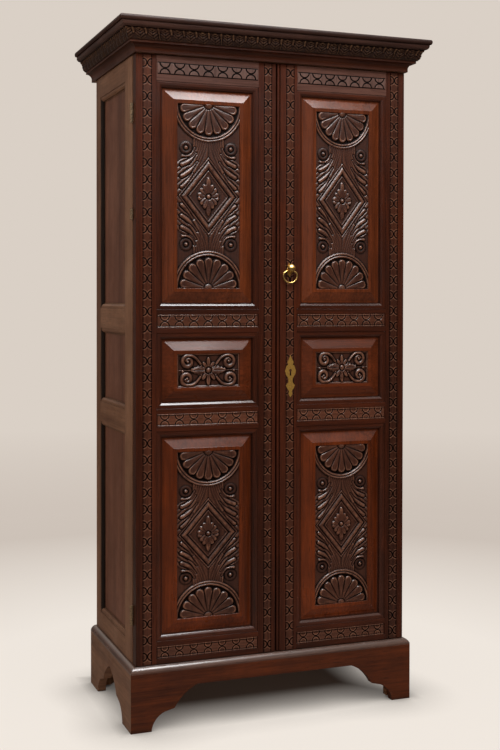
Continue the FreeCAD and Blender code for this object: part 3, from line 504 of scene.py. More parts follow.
@dataclass
class LozengeCarving:
    """The tall carved field: two shells, a lozenge with a rosette, four eyes and flutes."""

    width: float
    height: float
    design_width: float = 192.0
    design_height: float = 531.0
    shell: ShellForm = ShellForm()
    shell_reach: float = 108.0
    flute_top: float = 162.0
    flute_bend: float = 124.0
    flute_start: float = 4.0
    flute_pitch: float = 7.2
    flute_ends: tuple[Pair, ...] = ((90, 2), (91, 20), (92, 38), (92, 54), (92, 70), (92, 84), (92, 98))
    flute_base: float = 0.5
    flute_rise: float = 2.6
    fingers: tuple[tuple[Pair, Pair, Pair, Pair, float], ...] = (
        ((48, 66), (58, 50), (66, 38), (82, 26), 6.6), ((34, 100), (48, 82), (60, 68), (82, 57), 7.4),
        ((38, 124), (48, 108), (60, 98), (81, 90), 7.6), ((42, 140), (46, 126), (58, 114), (80, 115), 4.6))
    finger_root: float = 2.2
    finger_gap: float = 2.0
    finger_heights: Pair = (2.4, 3.4)
    eye: Pair = (69.0, 139.0)
    eye_radius: float = 5.8
    eye_height: float = 6.0
    eye_clearance: float = 22.0
    eye_corner: tuple[float, float, float] = (47.0, 16.0, 0.35)
    eye_ring: Ridge = Ridge(13.5, 6.4, 2.1)
    # Painted shade and dirt: a dark ring painted round each eye.
    eye_ring_shade_and_dirt: Ridge = Ridge(14.0, 9.0, 0.7)
    lozenge_half: Pair = (92.0, 113.0)
    lozenge_margin: float = 2.2
    lozenge_fillets: tuple[Ridge, ...] = (Ridge(1.8, 2.4, 3.4), Ridge(25.2, 1.9, 2.8))
    bar: Ridge = Ridge(13.5, 7.8, 6.0)
    bar_edges: Pair = (5.5, 21.5)
    inner_rim: float = 27.4
    petals: tuple[Pair, ...] = ((80, 33), (48, 33), (22, 37))
    petal_heights: Pair = (5.3, 4.4)
    petal_half_width: float = 8.8
    petal_rib: float = 1.2
    long_petal: Leaf = Leaf(55, 8.6, 4.8, 1.3)
    boss_radius: float = 7.0
    boss_height: float = 6.8
    boss_gap: float = 2.6
    border: Ridge = Ridge(0.0, 2.0, 1.4)
    ground_marks: float = 0.14

    def flutes(self) -> list[np.ndarray]:
        """Curves between one quadrant's flutes, from its middle line out, each from the ring down."""
        made = []
        for number, (across, up) in enumerate(self.flute_ends):
            start = self.flute_start + self.flute_pitch * number
            lean = (across - 38 + 2.0 * number, up + 36 - 2.5 * number)
            made.append(bezier((start, self.flute_top), (start + 1.0, self.flute_bend - number), lean,
                               (across, up)))
        return made

    def flow(self, side: np.ndarray, up: np.ndarray) -> np.ndarray:
        """How many flutes out from the middle line a place stands.

        Along each level line the curves' places rise in order, and the count is read off in
        line between them. A curve that has left the field runs on outside it.
        """
        count = np.zeros_like(side)
        before = np.zeros_like(side)
        for curve in self.flutes():
            across, height = curve[::-1, 0], curve[::-1, 1]
            after = np.interp(up, height, across) + 1.6 * np.clip(height[0] - up, 0, None)
            count += np.clip((side - before) / np.maximum(after - before, 0.5), 0, 1)
            before = after
        return count

    def relief(self) -> Relief:
        """The field's heights. Forms are mirrored by the size of each place's distances."""
        carving = Relief(self.width, self.height)
        u = carving.u * self.design_width / self.width
        stretch = self.design_height / self.height
        v = carving.v * stretch
        side, up = np.abs(u), np.abs(v)
        shell_down = (self.height / 2 - np.abs(carving.v)) * (1 + stretch) / 2
        carving.add(self.shell.heights(u, shell_down))
        count = self.flow(side, up)
        valley = np.abs(2 * (count - np.floor(count)) - 1) ** 2.4
        level = self.flute_base + self.flute_rise * np.clip(1 - valley, 0, 1) ** 0.8 * (
            0.75 + 0.25 * eased(side, 10, 60))
        level = self.add_fingers(level, side, up)
        wide, tall = self.lozenge_half
        depth = (1 - side / wide - up / tall) * wide * tall / math.hypot(wide, tall)
        level = np.where(depth > -self.lozenge_margin, 0, level)
        eye_gap = np.hypot(side - self.eye[0], up - self.eye[1])
        level = self.add_eyes(level, side, up, eye_gap)
        # A dark ring of painted shade and dirt round each eye.
        carving.dirt_and_painted_light += self.eye_ring_shade_and_dirt.over(eye_gap)
        carving.add(np.where(np.hypot(u, shell_down) < self.shell_reach, 0, level))
        self.add_lozenge(carving, u, v, depth)
        carving.add(self.border.over(carving.border()))
        carving.level = softened(carving.level, 1)
        carving.level += self.ground_marks * ripple(carving.u, carving.v, 3)
        return carving

    def add_fingers(self, level: np.ndarray, side: np.ndarray, up: np.ndarray) -> np.ndarray:
        """Clears a gap round each thick leaf tip and adds it, wider and higher towards its end."""
        base, rise = self.finger_heights
        for *corners, end_width in self.fingers:
            gap, along = to_curve(side, up, bezier(*corners))
            half = self.finger_root + (end_width - self.finger_root) * eased(along, 0.15, 0.75)
            level = np.where(gap < half + self.finger_gap, 0.0, level)
            tip = swell(gap, half, 1.0) ** 0.75 * (base + rise * eased(along, 0.2, 0.85))
            level = np.maximum(level, tip)
        return level

    def add_eyes(self, level: np.ndarray, side: np.ndarray, up: np.ndarray, gap: np.ndarray) -> np.ndarray:
        """Clears the ground round each eye, and adds its ring and its round middle."""
        across, reach, ground = self.eye_corner
        level = np.where(gap < self.eye_clearance, 0, level)
        level = np.where((side > across) & (up > self.eye[1]) & (gap > reach), ground, level)
        level = np.maximum(level, self.eye_ring.over(gap))
        return np.maximum(level, dome(gap, self.eye_radius, self.eye_height))

    def add_lozenge(self, carving: Relief, u: np.ndarray, v: np.ndarray, depth: np.ndarray) -> None:
        """Adds the fillets, the thick bar and the rosette by depth from the lozenge's edge."""
        low, high = self.bar_edges
        for fillet in self.lozenge_fillets:
            carving.add(fillet.over(depth))
        carving.add(np.where((depth > low) & (depth < high), self.bar.over(depth) ** 0.85, 0))
        inner = 0.3 + 0.35 * np.clip(ripple(u * 3, v * 3, 9), -1, 1)
        for flipped, height in zip((v, -v), self.petal_heights):
            for angle, length in self.petals:
                petal_form = Leaf(length, self.petal_half_width, height, self.petal_rib)
                for way in (-1, 1):
                    petal = petal_form.heights(u, flipped, way * angle)
                    covered = np.maximum(petal, inner * (petal > inner * 0.9))
                    inner = np.where(petal > 0.8, covered, inner)
            inner = np.maximum(inner, self.long_petal.heights(u, flipped, 0))
        ring = np.hypot(u, v)
        inner = np.where(ring < self.boss_radius + self.boss_gap, 0.0, inner)
        inner = np.maximum(inner, dome(ring, self.boss_radius, self.boss_height))
        carving.add(np.where(depth > self.inner_rim, inner, 0))


@dataclass
class ScrollCarving:
    """The small middle field: four scrolls, two long leaves, a boss and small leaves."""

    width: float
    height: float
    design_width: float = 192.0
    scroll_start: Pair = (22.0, 15.0)
    eyes: tuple[Pair, Pair] = ((63.0, 25.0), (66.0, 24.0))
    eye_radius: float = 4.8
    eye_height: float = 5.4
    scroll_height: float = 5.8
    long_leaf: tuple[float, float, float] = (25.0, 29.0, 17.0)
    notch_pitch: float = 10.5
    blade_height: float = 5.2
    leaf_gap: float = 1.22
    leaves: tuple[tuple[float, Pair], ...] = ((36, (33, 6.4)), (-36, (33, 6.4)), (0, (43, 7.2)))
    leaf_height: float = 5.6
    leaf_rib: float = 1.4
    lower_leaf_share: float = 0.86
    buds: tuple[Pair, ...] = ((79, -2), (50, 3))
    bud_radius: float = 3.8
    bud_height: float = 4.4
    boss_radius: float = 8.0
    boss_height: float = 7.4
    boss_gap: float = 3.0
    ground: float = 0.2
    border: Ridge = Ridge(1.6, 3.0, 2.6)
    ground_marks: float = 0.14

    def relief(self) -> Relief:
        """The field's heights, the higher of all its forms at each place."""
        carving = Relief(self.width, self.height, 1.0)
        u, v = carving.u * self.design_width / self.width, carving.v
        side = np.abs(u)
        for up, eye in zip((v, -v), self.eyes):
            self.add_scroll(carving, side, up, eye)
        self.add_long_leaves(carving, side, v)
        for angle, (length, half_width) in self.leaves:
            for flip, size in ((1, 1.0), (-1, self.lower_leaf_share)):
                leaf = Leaf(length * size, half_width * size, self.leaf_height, self.leaf_rib)
                body = leaf.heights(u, flip * v, angle)
                carving.level = np.where(body > 0.6, np.maximum(body, 0), carving.level)
        for across, up in self.buds:
            carving.add(dome(np.hypot(side - across, v - up), self.bud_radius, self.bud_height))
        middle = np.hypot(u, v)
        carving.level = np.where(middle < self.boss_radius + self.boss_gap, self.ground, carving.level)
        carving.add(dome(middle, self.boss_radius, self.boss_height))
        carving.add(self.border.over(carving.border()))
        carving.level += self.ground_marks * ripple(carving.u, v, 5)
        return carving

    def add_scroll(self, carving: Relief, side: np.ndarray, up: np.ndarray, eye: Pair) -> None:
        """Adds one row's two scrolls, a stem that turns in twice and ends before a round eye."""
        scroll = np.concatenate([
            bezier(self.scroll_start, (33, 30), (42, 43), (eye[0] - 4, eye[1] + 18.0), count=12),
            spiral(eye, (98, -200), (18.0, 10.5)), spiral(eye, (-210, -330), (10.0, 6.5), 16)])
        gap, along = to_curve(side, up, scroll)
        half = 3.6 + 3.2 * eased(along, 0.0, 0.3) - 2.6 * eased(along, 0.55, 1.0)
        carving.add(swell(gap, half, 1.0) ** 0.75 * (self.scroll_height - 1.2 * along))
        carving.add(dome(np.hypot(side - eye[0], up - eye[1]), self.eye_radius, self.eye_height))

    def add_long_leaves(self, carving: Relief, side: np.ndarray, v: np.ndarray) -> None:
        """Adds the two level leaves, notched along their edges, with a clear rim round them."""
        middle, reach, half_width = self.long_leaf
        outline = np.clip(1 - np.abs(side - middle) / reach, 0, 1) ** 0.6 * half_width + TINY
        share = np.abs(v) / (outline * (1 - 0.22 * np.abs(np.sin(side * math.pi / self.notch_pitch))))
        slope = np.clip((v + half_width) / (2 * half_width), 0, 1)
        blade = self.blade_height * np.clip(1 - share ** 2.6, 0, 1) ** 0.6 * (0.7 + 0.3 * slope)
        blade -= swell(v, 1.8, 1.6) + swell(np.abs(v) - 0.34 * side, 1.4, 0.9) * (np.abs(v) > 2)
        cleared = np.where(share < self.leaf_gap, np.minimum(carving.level, self.ground), carving.level)
        raised = np.maximum(carving.level, np.clip(blade, 0, None))
        carving.level = np.where(share < 1.0, raised, cleared)


class BandCut(Enum):
    """How a band is cut, as its pattern's distance from the band's edge."""

    INCISED = 1.2
    MODELLED = 4.6


@dataclass
class StarBand:
    """A run of half circles from both edges with four-pointed stars between them."""

    length: float
    width: float
    pitch: float
    cut: BandCut
    upright: bool = False
    depth: float = 2.0
    arc_margin: float = 1.3
    groove: Ridge = Ridge(0.0, 2.0)
    edge_groove: Ridge = Ridge(0.0, 1.9)
    # Painted highlights: pale lips on both sides of each incised cut.
    painted_highlight_lips: tuple[Ridge, Ridge] = (Ridge(3.6, 1.8), Ridge(-3.6, 1.4, 0.7))
    fine_groove: Ridge = Ridge(0.0, 1.8)
    circle_groove: Ridge = Ridge(-6.2, 2.6, 0.55)
    edge_bead: Ridge = Ridge(2.6, 2.2, 2.0)
    # Painted highlight: a pale rim just inside each modelled circle.
    painted_highlight_lip: Ridge = Ridge(-3.4, 2.0, 0.5)

    def relief(self) -> Relief:
        """The band's heights, by the distances from its arcs and from its edge lines."""
        size = (self.width, self.length) if self.upright else (self.length, self.width)
        carving = Relief(*size, 1.0)
        along, across = (carving.v, carving.u) if self.upright else (carving.u, carving.v)
        repeats = max(round(self.length / self.pitch), 1)
        pitch = self.length / repeats
        count = along / pitch + repeats / 2
        local = (count - np.floor(count) - 0.5) * pitch
        edge = self.width / 2 - self.cut.value
        radius = edge - self.arc_margin
        arc = np.minimum(np.hypot(local, across - edge), np.hypot(local, across + edge)) - radius
        edge_line = np.abs(across) - edge
        marks = ripple(along, across, 7)
        if self.cut is BandCut.INCISED:
            carving.level, carving.dirt_and_painted_light = self.incised(arc, edge_line, marks)
        else:
            carving.level, carving.dirt_and_painted_light = self.modelled(arc, edge_line, marks, radius)
        return carving

    def incised(self, arc: np.ndarray, edge_line: np.ndarray,
                marks: np.ndarray) -> tuple[np.ndarray, np.ndarray]:
        """Heights of V cuts into a level face, with dirt painted in them and painted highlights as pale lips
        beside them.
        """
        cuts = np.maximum(self.groove.over(arc) ** 0.7, self.edge_groove.over(edge_line) ** 0.7)
        painted_highlight_lips = sum(lip.over(arc) for lip in self.painted_highlight_lips)
        level = np.clip(self.depth - 0.1 - self.depth * cuts + 0.05 * marks, 0.03, self.depth)
        # Dirt in the cuts, less the painted highlights of the lips.
        cut_share, painted_highlight_share = (0.8, 0.9) if self.upright else (2.6, 0.2)
        return level, cut_share * cuts - painted_highlight_share * painted_highlight_lips

    def modelled(self, arc: np.ndarray, edge_line: np.ndarray, marks: np.ndarray,
                 radius: float) -> tuple[np.ndarray, np.ndarray]:
        """Heights of rounded half circles and stars in a sunk band, with dirt in the grooves and a painted
        highlight just inside each circle.
        """
        crown = np.clip(1 - (arc / radius) ** 2, 0, 1)
        cuts = self.fine_groove.over(arc)
        level = 0.35 + np.where(arc < 0, 1.05 * np.sqrt(crown), 1.25 * eased(arc, 0.6, 2.4)) - 0.9 * cuts
        level += np.where(arc < -3.2, -self.circle_groove.over(arc), 0) + 0.16 * marks
        level = np.where(edge_line > 0, self.edge_bead.over(edge_line), np.minimum(level, 1.7))
        # Dirt in the grooves, less a painted highlight inside each circle.
        dirt_and_painted_light = 0.9 * cuts + 0.8 * self.fine_groove.over(edge_line) - self.painted_highlight_lip.over(arc)
        return np.clip(level, 0.05, self.depth), dirt_and_painted_light


# Finishes

class Grain(Enum):
    """Which way the wood's fibres run, as the pattern's fineness along X, Y and Z."""

    UPRIGHT = (1.0, 1.0, 0.045)
    ACROSS = (0.045, 1.0, 1.0)
    ROUND = (0.045, 0.045, 1.0)


class Sketch:
    """Adds and links nodes of one tree in short words."""

    def __init__(self, tree: bpy.types.NodeTree) -> None:
        """Starts with an empty tree."""
        self.tree = tree
        tree.nodes.clear()

    def add(self, kind: str, values: dict | None = None, **settings: object) -> bpy.types.Node:
        """A node of that kind. A value that is a socket is linked, and any other is set."""
        node = self.tree.nodes.new(kind)
        for name, value in settings.items():
            setattr(node, name, value)
        for key, value in (values or {}).items():
            if isinstance(value, bpy.types.NodeSocket):
                self.tree.links.new(value, node.inputs[key])
            else:
                node.inputs[key].default_value = value
        return node

    def math(self, operation: str, first: Value, second: Value, clamp: bool = False) -> bpy.types.NodeSocket:
        """Result of one sum of two numbers or sockets."""
        node = self.add("ShaderNodeMath", {0: first, 1: second}, operation=operation, use_clamp=clamp)
        return node.outputs[0]

    def times(self, first: Value, second: Value) -> bpy.types.NodeSocket:
        """Product of two numbers or sockets."""
        return self.math("MULTIPLY", first, second)

    def span(self, value: Value, low: float, high: float, to_low: float = 0.0,
             to_high: float = 1.0) -> bpy.types.NodeSocket:
        """Value moved from one range to another and held inside it."""
        node = self.add("ShaderNodeMapRange", {"Value": value, "From Min": low, "From Max": high,
                                               "To Min": to_low, "To Max": to_high})
        return node.outputs["Result"]

    def mix(self, factor: Value, first: Value, second: Value, blend: str = "MIX") -> bpy.types.NodeSocket:
        """Two colours mixed by a factor."""
        node = self.add("ShaderNodeMix", {0: factor, 6: first, 7: second}, data_type="RGBA", blend_type=blend)
        return node.outputs[2]

    def noise(self, vector: Value, scale: float, detail: float, roughness: float) -> bpy.types.NodeSocket:
        """Soft noise between nought and one."""
        node = self.add("ShaderNodeTexNoise", {"Vector": vector, "Scale": scale, "Detail": detail,
                                               "Roughness": roughness})
        return node.outputs["Fac"]

    def output(self, values: dict[str, bpy.types.NodeSocket]) -> None:
        """Links results to a group's outputs."""
        node = next(node for node in self.tree.nodes if node.bl_idname == "NodeGroupOutput")
        for label, value in values.items():
            self.tree.links.new(value, node.inputs[label])


def new_group(name: str, inputs: dict[str, str], outputs: tuple[str, ...]) -> tuple[Sketch, Sockets]:
    """An empty node group with named inputs, and outputs that are all numbers.

    Args:
        name: The group's name.
        inputs: Socket kind for each input name.
        outputs: The outputs' names.

    Returns:
        The sketch of its tree and the sockets that its inputs arrive on.
    """
    tree = bpy.data.node_groups.new(name, "ShaderNodeTree")
    for label, kind in inputs.items():
        tree.interface.new_socket(label, in_out="INPUT", socket_type=kind)
    for label in outputs:
        tree.interface.new_socket(label, in_out="OUTPUT", socket_type=FLOAT)
    sketch = Sketch(tree)
    sketch.add("NodeGroupOutput")
    return sketch, sketch.add("NodeGroupInput").outputs


def wood_figure_group() -> bpy.types.NodeTree:
    """Fibres, broad figure and pores of wood over stretched coordinates."""
    sketch, given = new_group("wood_figure", {"Place": VECTOR, "Stretch": VECTOR},
                              ("Tone", "Pores", "Height"))
    place = sketch.add("ShaderNodeVectorMath", {0: given["Place"], 1: given["Stretch"]},
                       operation="MULTIPLY").outputs[0]
    broad = sketch.noise(place, 11.0, 2.0, 0.55)
    fibre = sketch.noise(place, 150.0, 3.0, 0.6)
    fine = sketch.noise(place, 520.0, 2.0, 0.6)
    tone = sketch.math("ADD", sketch.times(broad, 0.55), sketch.times(fibre, 0.45))
    pores = sketch.span(fine, 0.60, 0.68)
    sketch.output({"Tone": sketch.span(tone, 0.34, 0.66), "Pores": pores,
                   "Height": sketch.math("SUBTRACT", fibre, sketch.times(pores, 0.8))})
    return sketch.tree


def handling_group() -> bpy.types.NodeTree:
    """Masks of hollows and crests from the carve attribute, and of uneven handling in patches."""
    sketch, given = new_group("handling", {"Place": VECTOR, "Carve": FLOAT, "Reach": FLOAT},
                              ("Hollow", "Crest", "Patch"))
    patch = sketch.noise(given["Place"], 5.0, 4.0, 0.65)
    spots = sketch.noise(given["Place"], 70.0, 3.0, 0.6)
    depth = sketch.math("DIVIDE", sketch.times(given["Carve"], -1.0), given["Reach"])
    crest = sketch.times(sketch.span(given["Carve"], 0.15, 1.1), sketch.span(spots, 0.3, 0.6))
    # On wood the hollows take dirt and painted shade and the crests wear and painted highlight; on metal the
    # hollows take tarnish.
    sketch.output({"Hollow": sketch.span(depth, 0.08, 1.0), "Crest": crest,
                   "Patch": sketch.span(patch, 0.35, 0.65)})
    return sketch.tree


def dust_group() -> bpy.types.NodeTree:
    """Dust that settles on faces that look up, thicker where a noise is high."""
    sketch, given = new_group("settled_dust", {"Place": VECTOR, "Amount": FLOAT}, ("Mask",))
    normal = sketch.add("ShaderNodeNewGeometry").outputs["Normal"]
    up = sketch.add("ShaderNodeSeparateXYZ", {0: normal}).outputs["Z"]
    spread = sketch.span(sketch.noise(given["Place"], 26.0, 4.0, 0.6), 0.35, 0.7, 0.4, 1.0)
    settled = sketch.times(sketch.span(up, 0.55, 0.95), spread)
    sketch.output({"Mask": sketch.math("MULTIPLY", settled, given["Amount"], clamp=True)})
    return sketch.tree


GROUPS = {"figure": wood_figure_group(), "handling": handling_group(), "dust": dust_group()}


def group_node(sketch: Sketch, group: str, values: dict) -> Sockets:
    """Outputs of one of the shared groups, placed in a material with its own values."""
    return sketch.add("ShaderNodeGroup", values, node_tree=GROUPS[group]).outputs


def shown(red: float, green: float, blue: float) -> tuple[float, float, float, float]:
    """A colour given as it shows on a screen, from 0 to 255, as linear light."""
    shares = (red / 255, green / 255, blue / 255)
    return (*(((c + 0.055) / 1.055) ** 2.4 if c > 0.0404 else c / 12.92 for c in shares), 1.0)


@dataclass(frozen=True)
class Finish(ABC):
    """What a surface is made of, built once as a material of its name."""

    name: str

    def material(self) -> bpy.types.Material:
        """Builds the finish, or finds it if it was built before."""
        made = bpy.data.materials.get(self.name)
        if made is None:
            made = bpy.data.materials.new(self.name)
            made.use_nodes = True
            sketch = Sketch(made.node_tree)
            place = sketch.add("ShaderNodeTexCoord").outputs["Object"]
            carve = sketch.add("ShaderNodeAttribute", attribute_name="carve").outputs["Fac"]
            shader = sketch.add("ShaderNodeBsdfPrincipled", self.surface(sketch, place, carve))
            sketch.add("ShaderNodeOutputMaterial", {"Surface": shader.outputs[0]})
        return made

    @abstractmethod
    def surface(self, sketch: Sketch, place: bpy.types.NodeSocket, carve: bpy.types.NodeSocket) -> dict:
        """Values of the surface's shader.

        Args:
            sketch: The material's nodes.
            place: Place on the object, in metres.
            carve: How far the surface stands over what is round it, in millimetres.

        Returns:
            A number, a colour or a socket for each input's name.
        """

    @staticmethod
    def bumped(sketch: Sketch, height: Value, distance: float, strength: float, normal: Value) -> Value:
        """A normal tilted by the slope of a height."""
        return sketch.add("ShaderNodeBump", {"Height": height, "Distance": distance, "Strength": strength,
                                             "Normal": normal}).outputs[0]


@dataclass(frozen=True)
class WoodFinish(Finish):
    """A polished wood: its colours, the way of its fibres and how it shines."""

    dark: Triple
    light: Triple
    grain: Grain
    roughness: float = 0.36
    sheen_level: float = 0.14
    coat: float = 0.13
    coat_roughness: float = 0.2
    edge_round: float = 0.9
    bump: float = 0.10
    # Colour painted on crests: partly wear, partly a painted highlight standing in for shine.
    wear_and_painted_highlight: Triple = (92, 56, 40)
    dust: float = 0.2
    hollow_reach: float = 0.8
    # crevice: how dark the painted shade and dirt in corners go, as an occlusion test finds them within
    # crevice_reach millimetres.
    crevice: float = 0.8
    crevice_reach: float = 9.0
    wave: float = 0.25

    def surface(self, sketch: Sketch, place: bpy.types.NodeSocket, carve: bpy.types.NodeSocket) -> dict:
        """Polished wood: dirt and painted shade darken hollows and corners; wear and painted highlight pale
        the crests.
        """
        figure = group_node(sketch, "figure", {"Place": place, "Stretch": self.grain.value})
        handled = group_node(sketch, "handling", {"Place": place, "Carve": carve, "Reach": self.hollow_reach})
        dust = group_node(sketch, "dust", {"Place": place, "Amount": self.dust})["Mask"]
        # Painted shade: an occlusion test darkens corners and recesses, for shade and dirt there, and joins
        # the hollows of the carve attribute.
        near = sketch.add("ShaderNodeAmbientOcclusion", {"Distance": self.crevice_reach * MM}, samples=4)
        corner = sketch.span(near.outputs["AO"], 0.3, 0.8, self.crevice, 0.0)
        shade_and_dirt_mask = sketch.math("MAXIMUM", handled["Hollow"], corner)
        colour = sketch.mix(figure["Tone"], shown(*self.dark), shown(*self.light))
        # Pores, patches, dirt with painted shade in hollows and corners, then pale crests for wear and
        # painted highlight.
        for mask, share, over in ((figure["Pores"], 0.55, PORE_COLOUR), (handled["Patch"], 0.45, self.dark),
                                  (shade_and_dirt_mask, 0.97, DIRT_AND_SHADE_COLOUR), (handled["Crest"], 0.6, self.wear_and_painted_highlight)):
            colour = sketch.mix(sketch.times(mask, share), colour, shown(*over))
        rough = sketch.span(handled["Patch"], 0.0, 1.0, self.roughness - 0.05, self.roughness + 0.08)
        rough = sketch.math("ADD", rough, sketch.times(shade_and_dirt_mask, 0.35))
        rough = sketch.math("ADD", rough, sketch.times(dust, 0.4), clamp=True)
        normal = sketch.add("ShaderNodeBevel", {"Radius": self.edge_round * MM}, samples=4).outputs[0]
        normal = self.bumped(sketch, sketch.noise(place, 9.0, 1.0, 0.4), 0.012, self.wave, normal)
        normal = self.bumped(sketch, figure["Height"], 0.0006, self.bump, normal)
        # Less shine where dirt and painted shade lie, so they stay dark.
        free_of_shade_and_dirt = sketch.math("SUBTRACT", 1.0, sketch.times(shade_and_dirt_mask, 0.85))
        return {"Base Color": sketch.mix(dust, colour, shown(*DUST_COLOUR)), "Roughness": rough,
                "Normal": normal, "Specular IOR Level": sketch.times(free_of_shade_and_dirt, self.sheen_level),
                "Coat Weight": sketch.times(free_of_shade_and_dirt, self.coat), "Coat Roughness": self.coat_roughness,
                "Coat IOR": 1.5, "IOR": 1.5}


@dataclass(frozen=True)
class MetalFinish(Finish):
    """Old brass or iron: bright where it is handled, dark and rough in patches."""

    bright: Triple
    tarnished: Triple
    roughness: float = 0.28
    tarnish: float = 0.5
    metallic: float = 1.0

    def surface(self, sketch: Sketch, place: bpy.types.NodeSocket, carve: bpy.types.NodeSocket) -> dict:
        """Metal whose tarnish follows a noise and lies in its hollows."""
        handled = group_node(sketch, "handling", {"Place": place, "Carve": carve, "Reach": 0.8})
        spots = sketch.noise(place, 260.0, 4.0, 0.65)
        old = sketch.times(sketch.span(spots, 0.35, 0.65), self.tarnish)
        old = sketch.math("ADD", old, sketch.times(handled["Hollow"], 0.8), clamp=True)
        normal = sketch.add("ShaderNodeBevel", {"Radius": 0.4 * MM}, samples=4).outputs[0]
        return {"Base Color": sketch.mix(old, shown(*self.bright), shown(*self.tarnished)),
                "Roughness": sketch.span(old, 0.0, 1.0, self.roughness, self.roughness + 0.25),
                "Normal": self.bumped(sketch, spots, 0.0003, 0.25, normal), "Metallic": self.metallic}


DOOR_TONES = ((40, 16, 7), (84, 38, 20))
SIDE_TONES = ((88, 58, 42), (140, 102, 77))
SLAB_TONES = ((28, 15, 11), (62, 38, 30))
INSIDE_TONES = ((92, 58, 38), (132, 92, 62))
STILE_WOOD = WoodFinish("door_stile_mahogany", *DOOR_TONES, Grain.UPRIGHT, edge_round=1.5)
RAIL_WOOD = replace(STILE_WOOD, name="door_rail_mahogany", grain=Grain.ACROSS)
# Top rails greyer and lighter than the other rails: partly fading, partly painted sheen of the light from
# above.
TOP_RAIL_FADE_AND_SHEEN_WOOD = replace(RAIL_WOOD, name="top_rail_fade_and_sheen_mahogany", dark=(66, 40, 32), light=(112, 78, 68))
MOULDED_STILE_WOOD = WoodFinish("moulded_stile_mahogany", *DOOR_TONES, Grain.UPRIGHT, coat=0.5,
                                coat_roughness=0.15, edge_round=0.3, wave=0.1)
MOULDED_RAIL_WOOD = replace(MOULDED_STILE_WOOD, name="moulded_rail_mahogany", grain=Grain.ACROSS)
PANEL_WOOD = WoodFinish("panel_mahogany", (60, 23, 7), (118, 52, 20), Grain.UPRIGHT, roughness=0.30,
                        coat=0.25)
# Upper panels greyer and lighter than the lower ones: painted sheen, the haze of reflected light on them.
UPPER_PANEL_PAINTED_SHEEN_WOOD = replace(PANEL_WOOD, name="upper_panel_painted_sheen_mahogany", dark=(66, 29, 13), light=(126, 62, 31))
MIDDLE_PANEL_WOOD = WoodFinish("middle_panel_mahogany", (58, 25, 11), (112, 52, 26), Grain.ACROSS,
                               roughness=0.30, sheen_level=0.12, coat=0.15)
CARVED_WOOD = WoodFinish("carved_mahogany", (46, 22, 14), (82, 46, 32), Grain.UPRIGHT, roughness=0.38,
                         sheen_level=0.2, coat=0.25, coat_roughness=0.28, edge_round=0.6,
                         wear_and_painted_highlight=(138, 94, 72), dust=0.05, hollow_reach=0.9)
BAND_WOOD = WoodFinish("band_mahogany", (46, 22, 13), (88, 48, 32), Grain.UPRIGHT, coat=0.3, edge_round=0.4,
                       wear_and_painted_highlight=(138, 96, 74), dust=0.1, hollow_reach=0.5, crevice=0.3)
RAIL_BAND_WOOD = replace(BAND_WOOD, name="rail_band_mahogany", dark=(62, 33, 22), light=(112, 68, 50),
                         grain=Grain.ACROSS, coat=0.4, wear_and_painted_highlight=(150, 108, 84), hollow_reach=0.6)
# Top bands greyer and lighter than the other bands: partly fading, partly painted sheen of the light from
# above.
TOP_BAND_FADE_AND_SHEEN_WOOD = replace(BAND_WOOD, name="top_band_fade_and_sheen_mahogany", dark=(72, 50, 44), light=(124, 96, 88),
                        wear_and_painted_highlight=(136, 106, 96), hollow_reach=0.35, crevice=0.8)
CORNICE_CARVED_WOOD = replace(TOP_BAND_FADE_AND_SHEEN_WOOD, name="cornice_carved_mahogany", dark=(28, 14, 9),
                              light=(62, 36, 26), grain=Grain.ROUND, wear_and_painted_highlight=(128, 94, 66))
SIDE_WOOD = WoodFinish("side_mahogany", *SIDE_TONES, Grain.UPRIGHT, roughness=0.46, coat=0.1, edge_round=1.5)
SIDE_RAIL_WOOD = replace(SIDE_WOOD, name="side_rail_mahogany", grain=Grain.ROUND)
SIDE_PANEL_WOOD = replace(SIDE_WOOD, name="side_panel_mahogany", dark=(76, 46, 34), light=(124, 82, 64),
                          roughness=0.48)
# Painted shade: the side mouldings' upright runs are near black for the shadow on those walls; the level runs
# keep the side's wood.
SIDE_MOULDING_PAINTED_SHADE_WOOD = WoodFinish("side_moulding_painted_shade_mahogany", (16, 10, 8), (36, 24, 18), Grain.UPRIGHT,
                                roughness=0.5, coat=0.05, edge_round=0.3)
SLAB_WOOD = WoodFinish("cornice_slab_mahogany", *SLAB_TONES, Grain.ROUND, roughness=0.5, sheen_level=0.08,
                       coat=0.04, wear_and_painted_highlight=(104, 78, 68), edge_round=1.2)
CORNICE_WOOD = WoodFinish("cornice_mahogany", *SLAB_TONES, Grain.ROUND, roughness=0.32, coat=0.5,
                          wear_and_painted_highlight=(104, 78, 68), edge_round=1.2)
ROLL_WOOD = WoodFinish("cornice_roll_mahogany", (36, 20, 16), (82, 56, 48), Grain.ROUND, roughness=0.32,
                       wear_and_painted_highlight=(110, 86, 78))
MOULDING_WOOD = WoodFinish("moulding_mahogany", (38, 16, 9), (82, 42, 26), Grain.ROUND, roughness=0.34)
PLINTH_WOOD = WoodFinish("plinth_mahogany", (42, 19, 10), (104, 48, 20), Grain.ACROSS, roughness=0.38)
BASE_WOOD = WoodFinish("base_moulding_mahogany", (52, 30, 22), (104, 70, 56), Grain.ROUND, roughness=0.30,
                       coat=0.9, coat_roughness=0.22, dust=0.5, edge_round=1.5)
PLAIN_WOOD = WoodFinish("plain_inside_wood", *INSIDE_TONES, Grain.UPRIGHT, roughness=0.62, coat=0.0,
                        edge_round=0.4)
SHELF_WOOD = replace(PLAIN_WOOD, name="shelf_inside_wood", grain=Grain.ACROSS)
BRIGHT_BRASS = MetalFinish("handled_brass", (226, 186, 112), (120, 88, 46))
PLATE_BRASS = MetalFinish("plate_brass", (206, 160, 78), (112, 80, 38), roughness=0.36, tarnish=0.55,
                          metallic=0.75)
HINGE_BRASS = MetalFinish("old_hinge_brass", (132, 106, 76), (52, 38, 26), roughness=0.6, tarnish=0.8,
                          metallic=0.3)
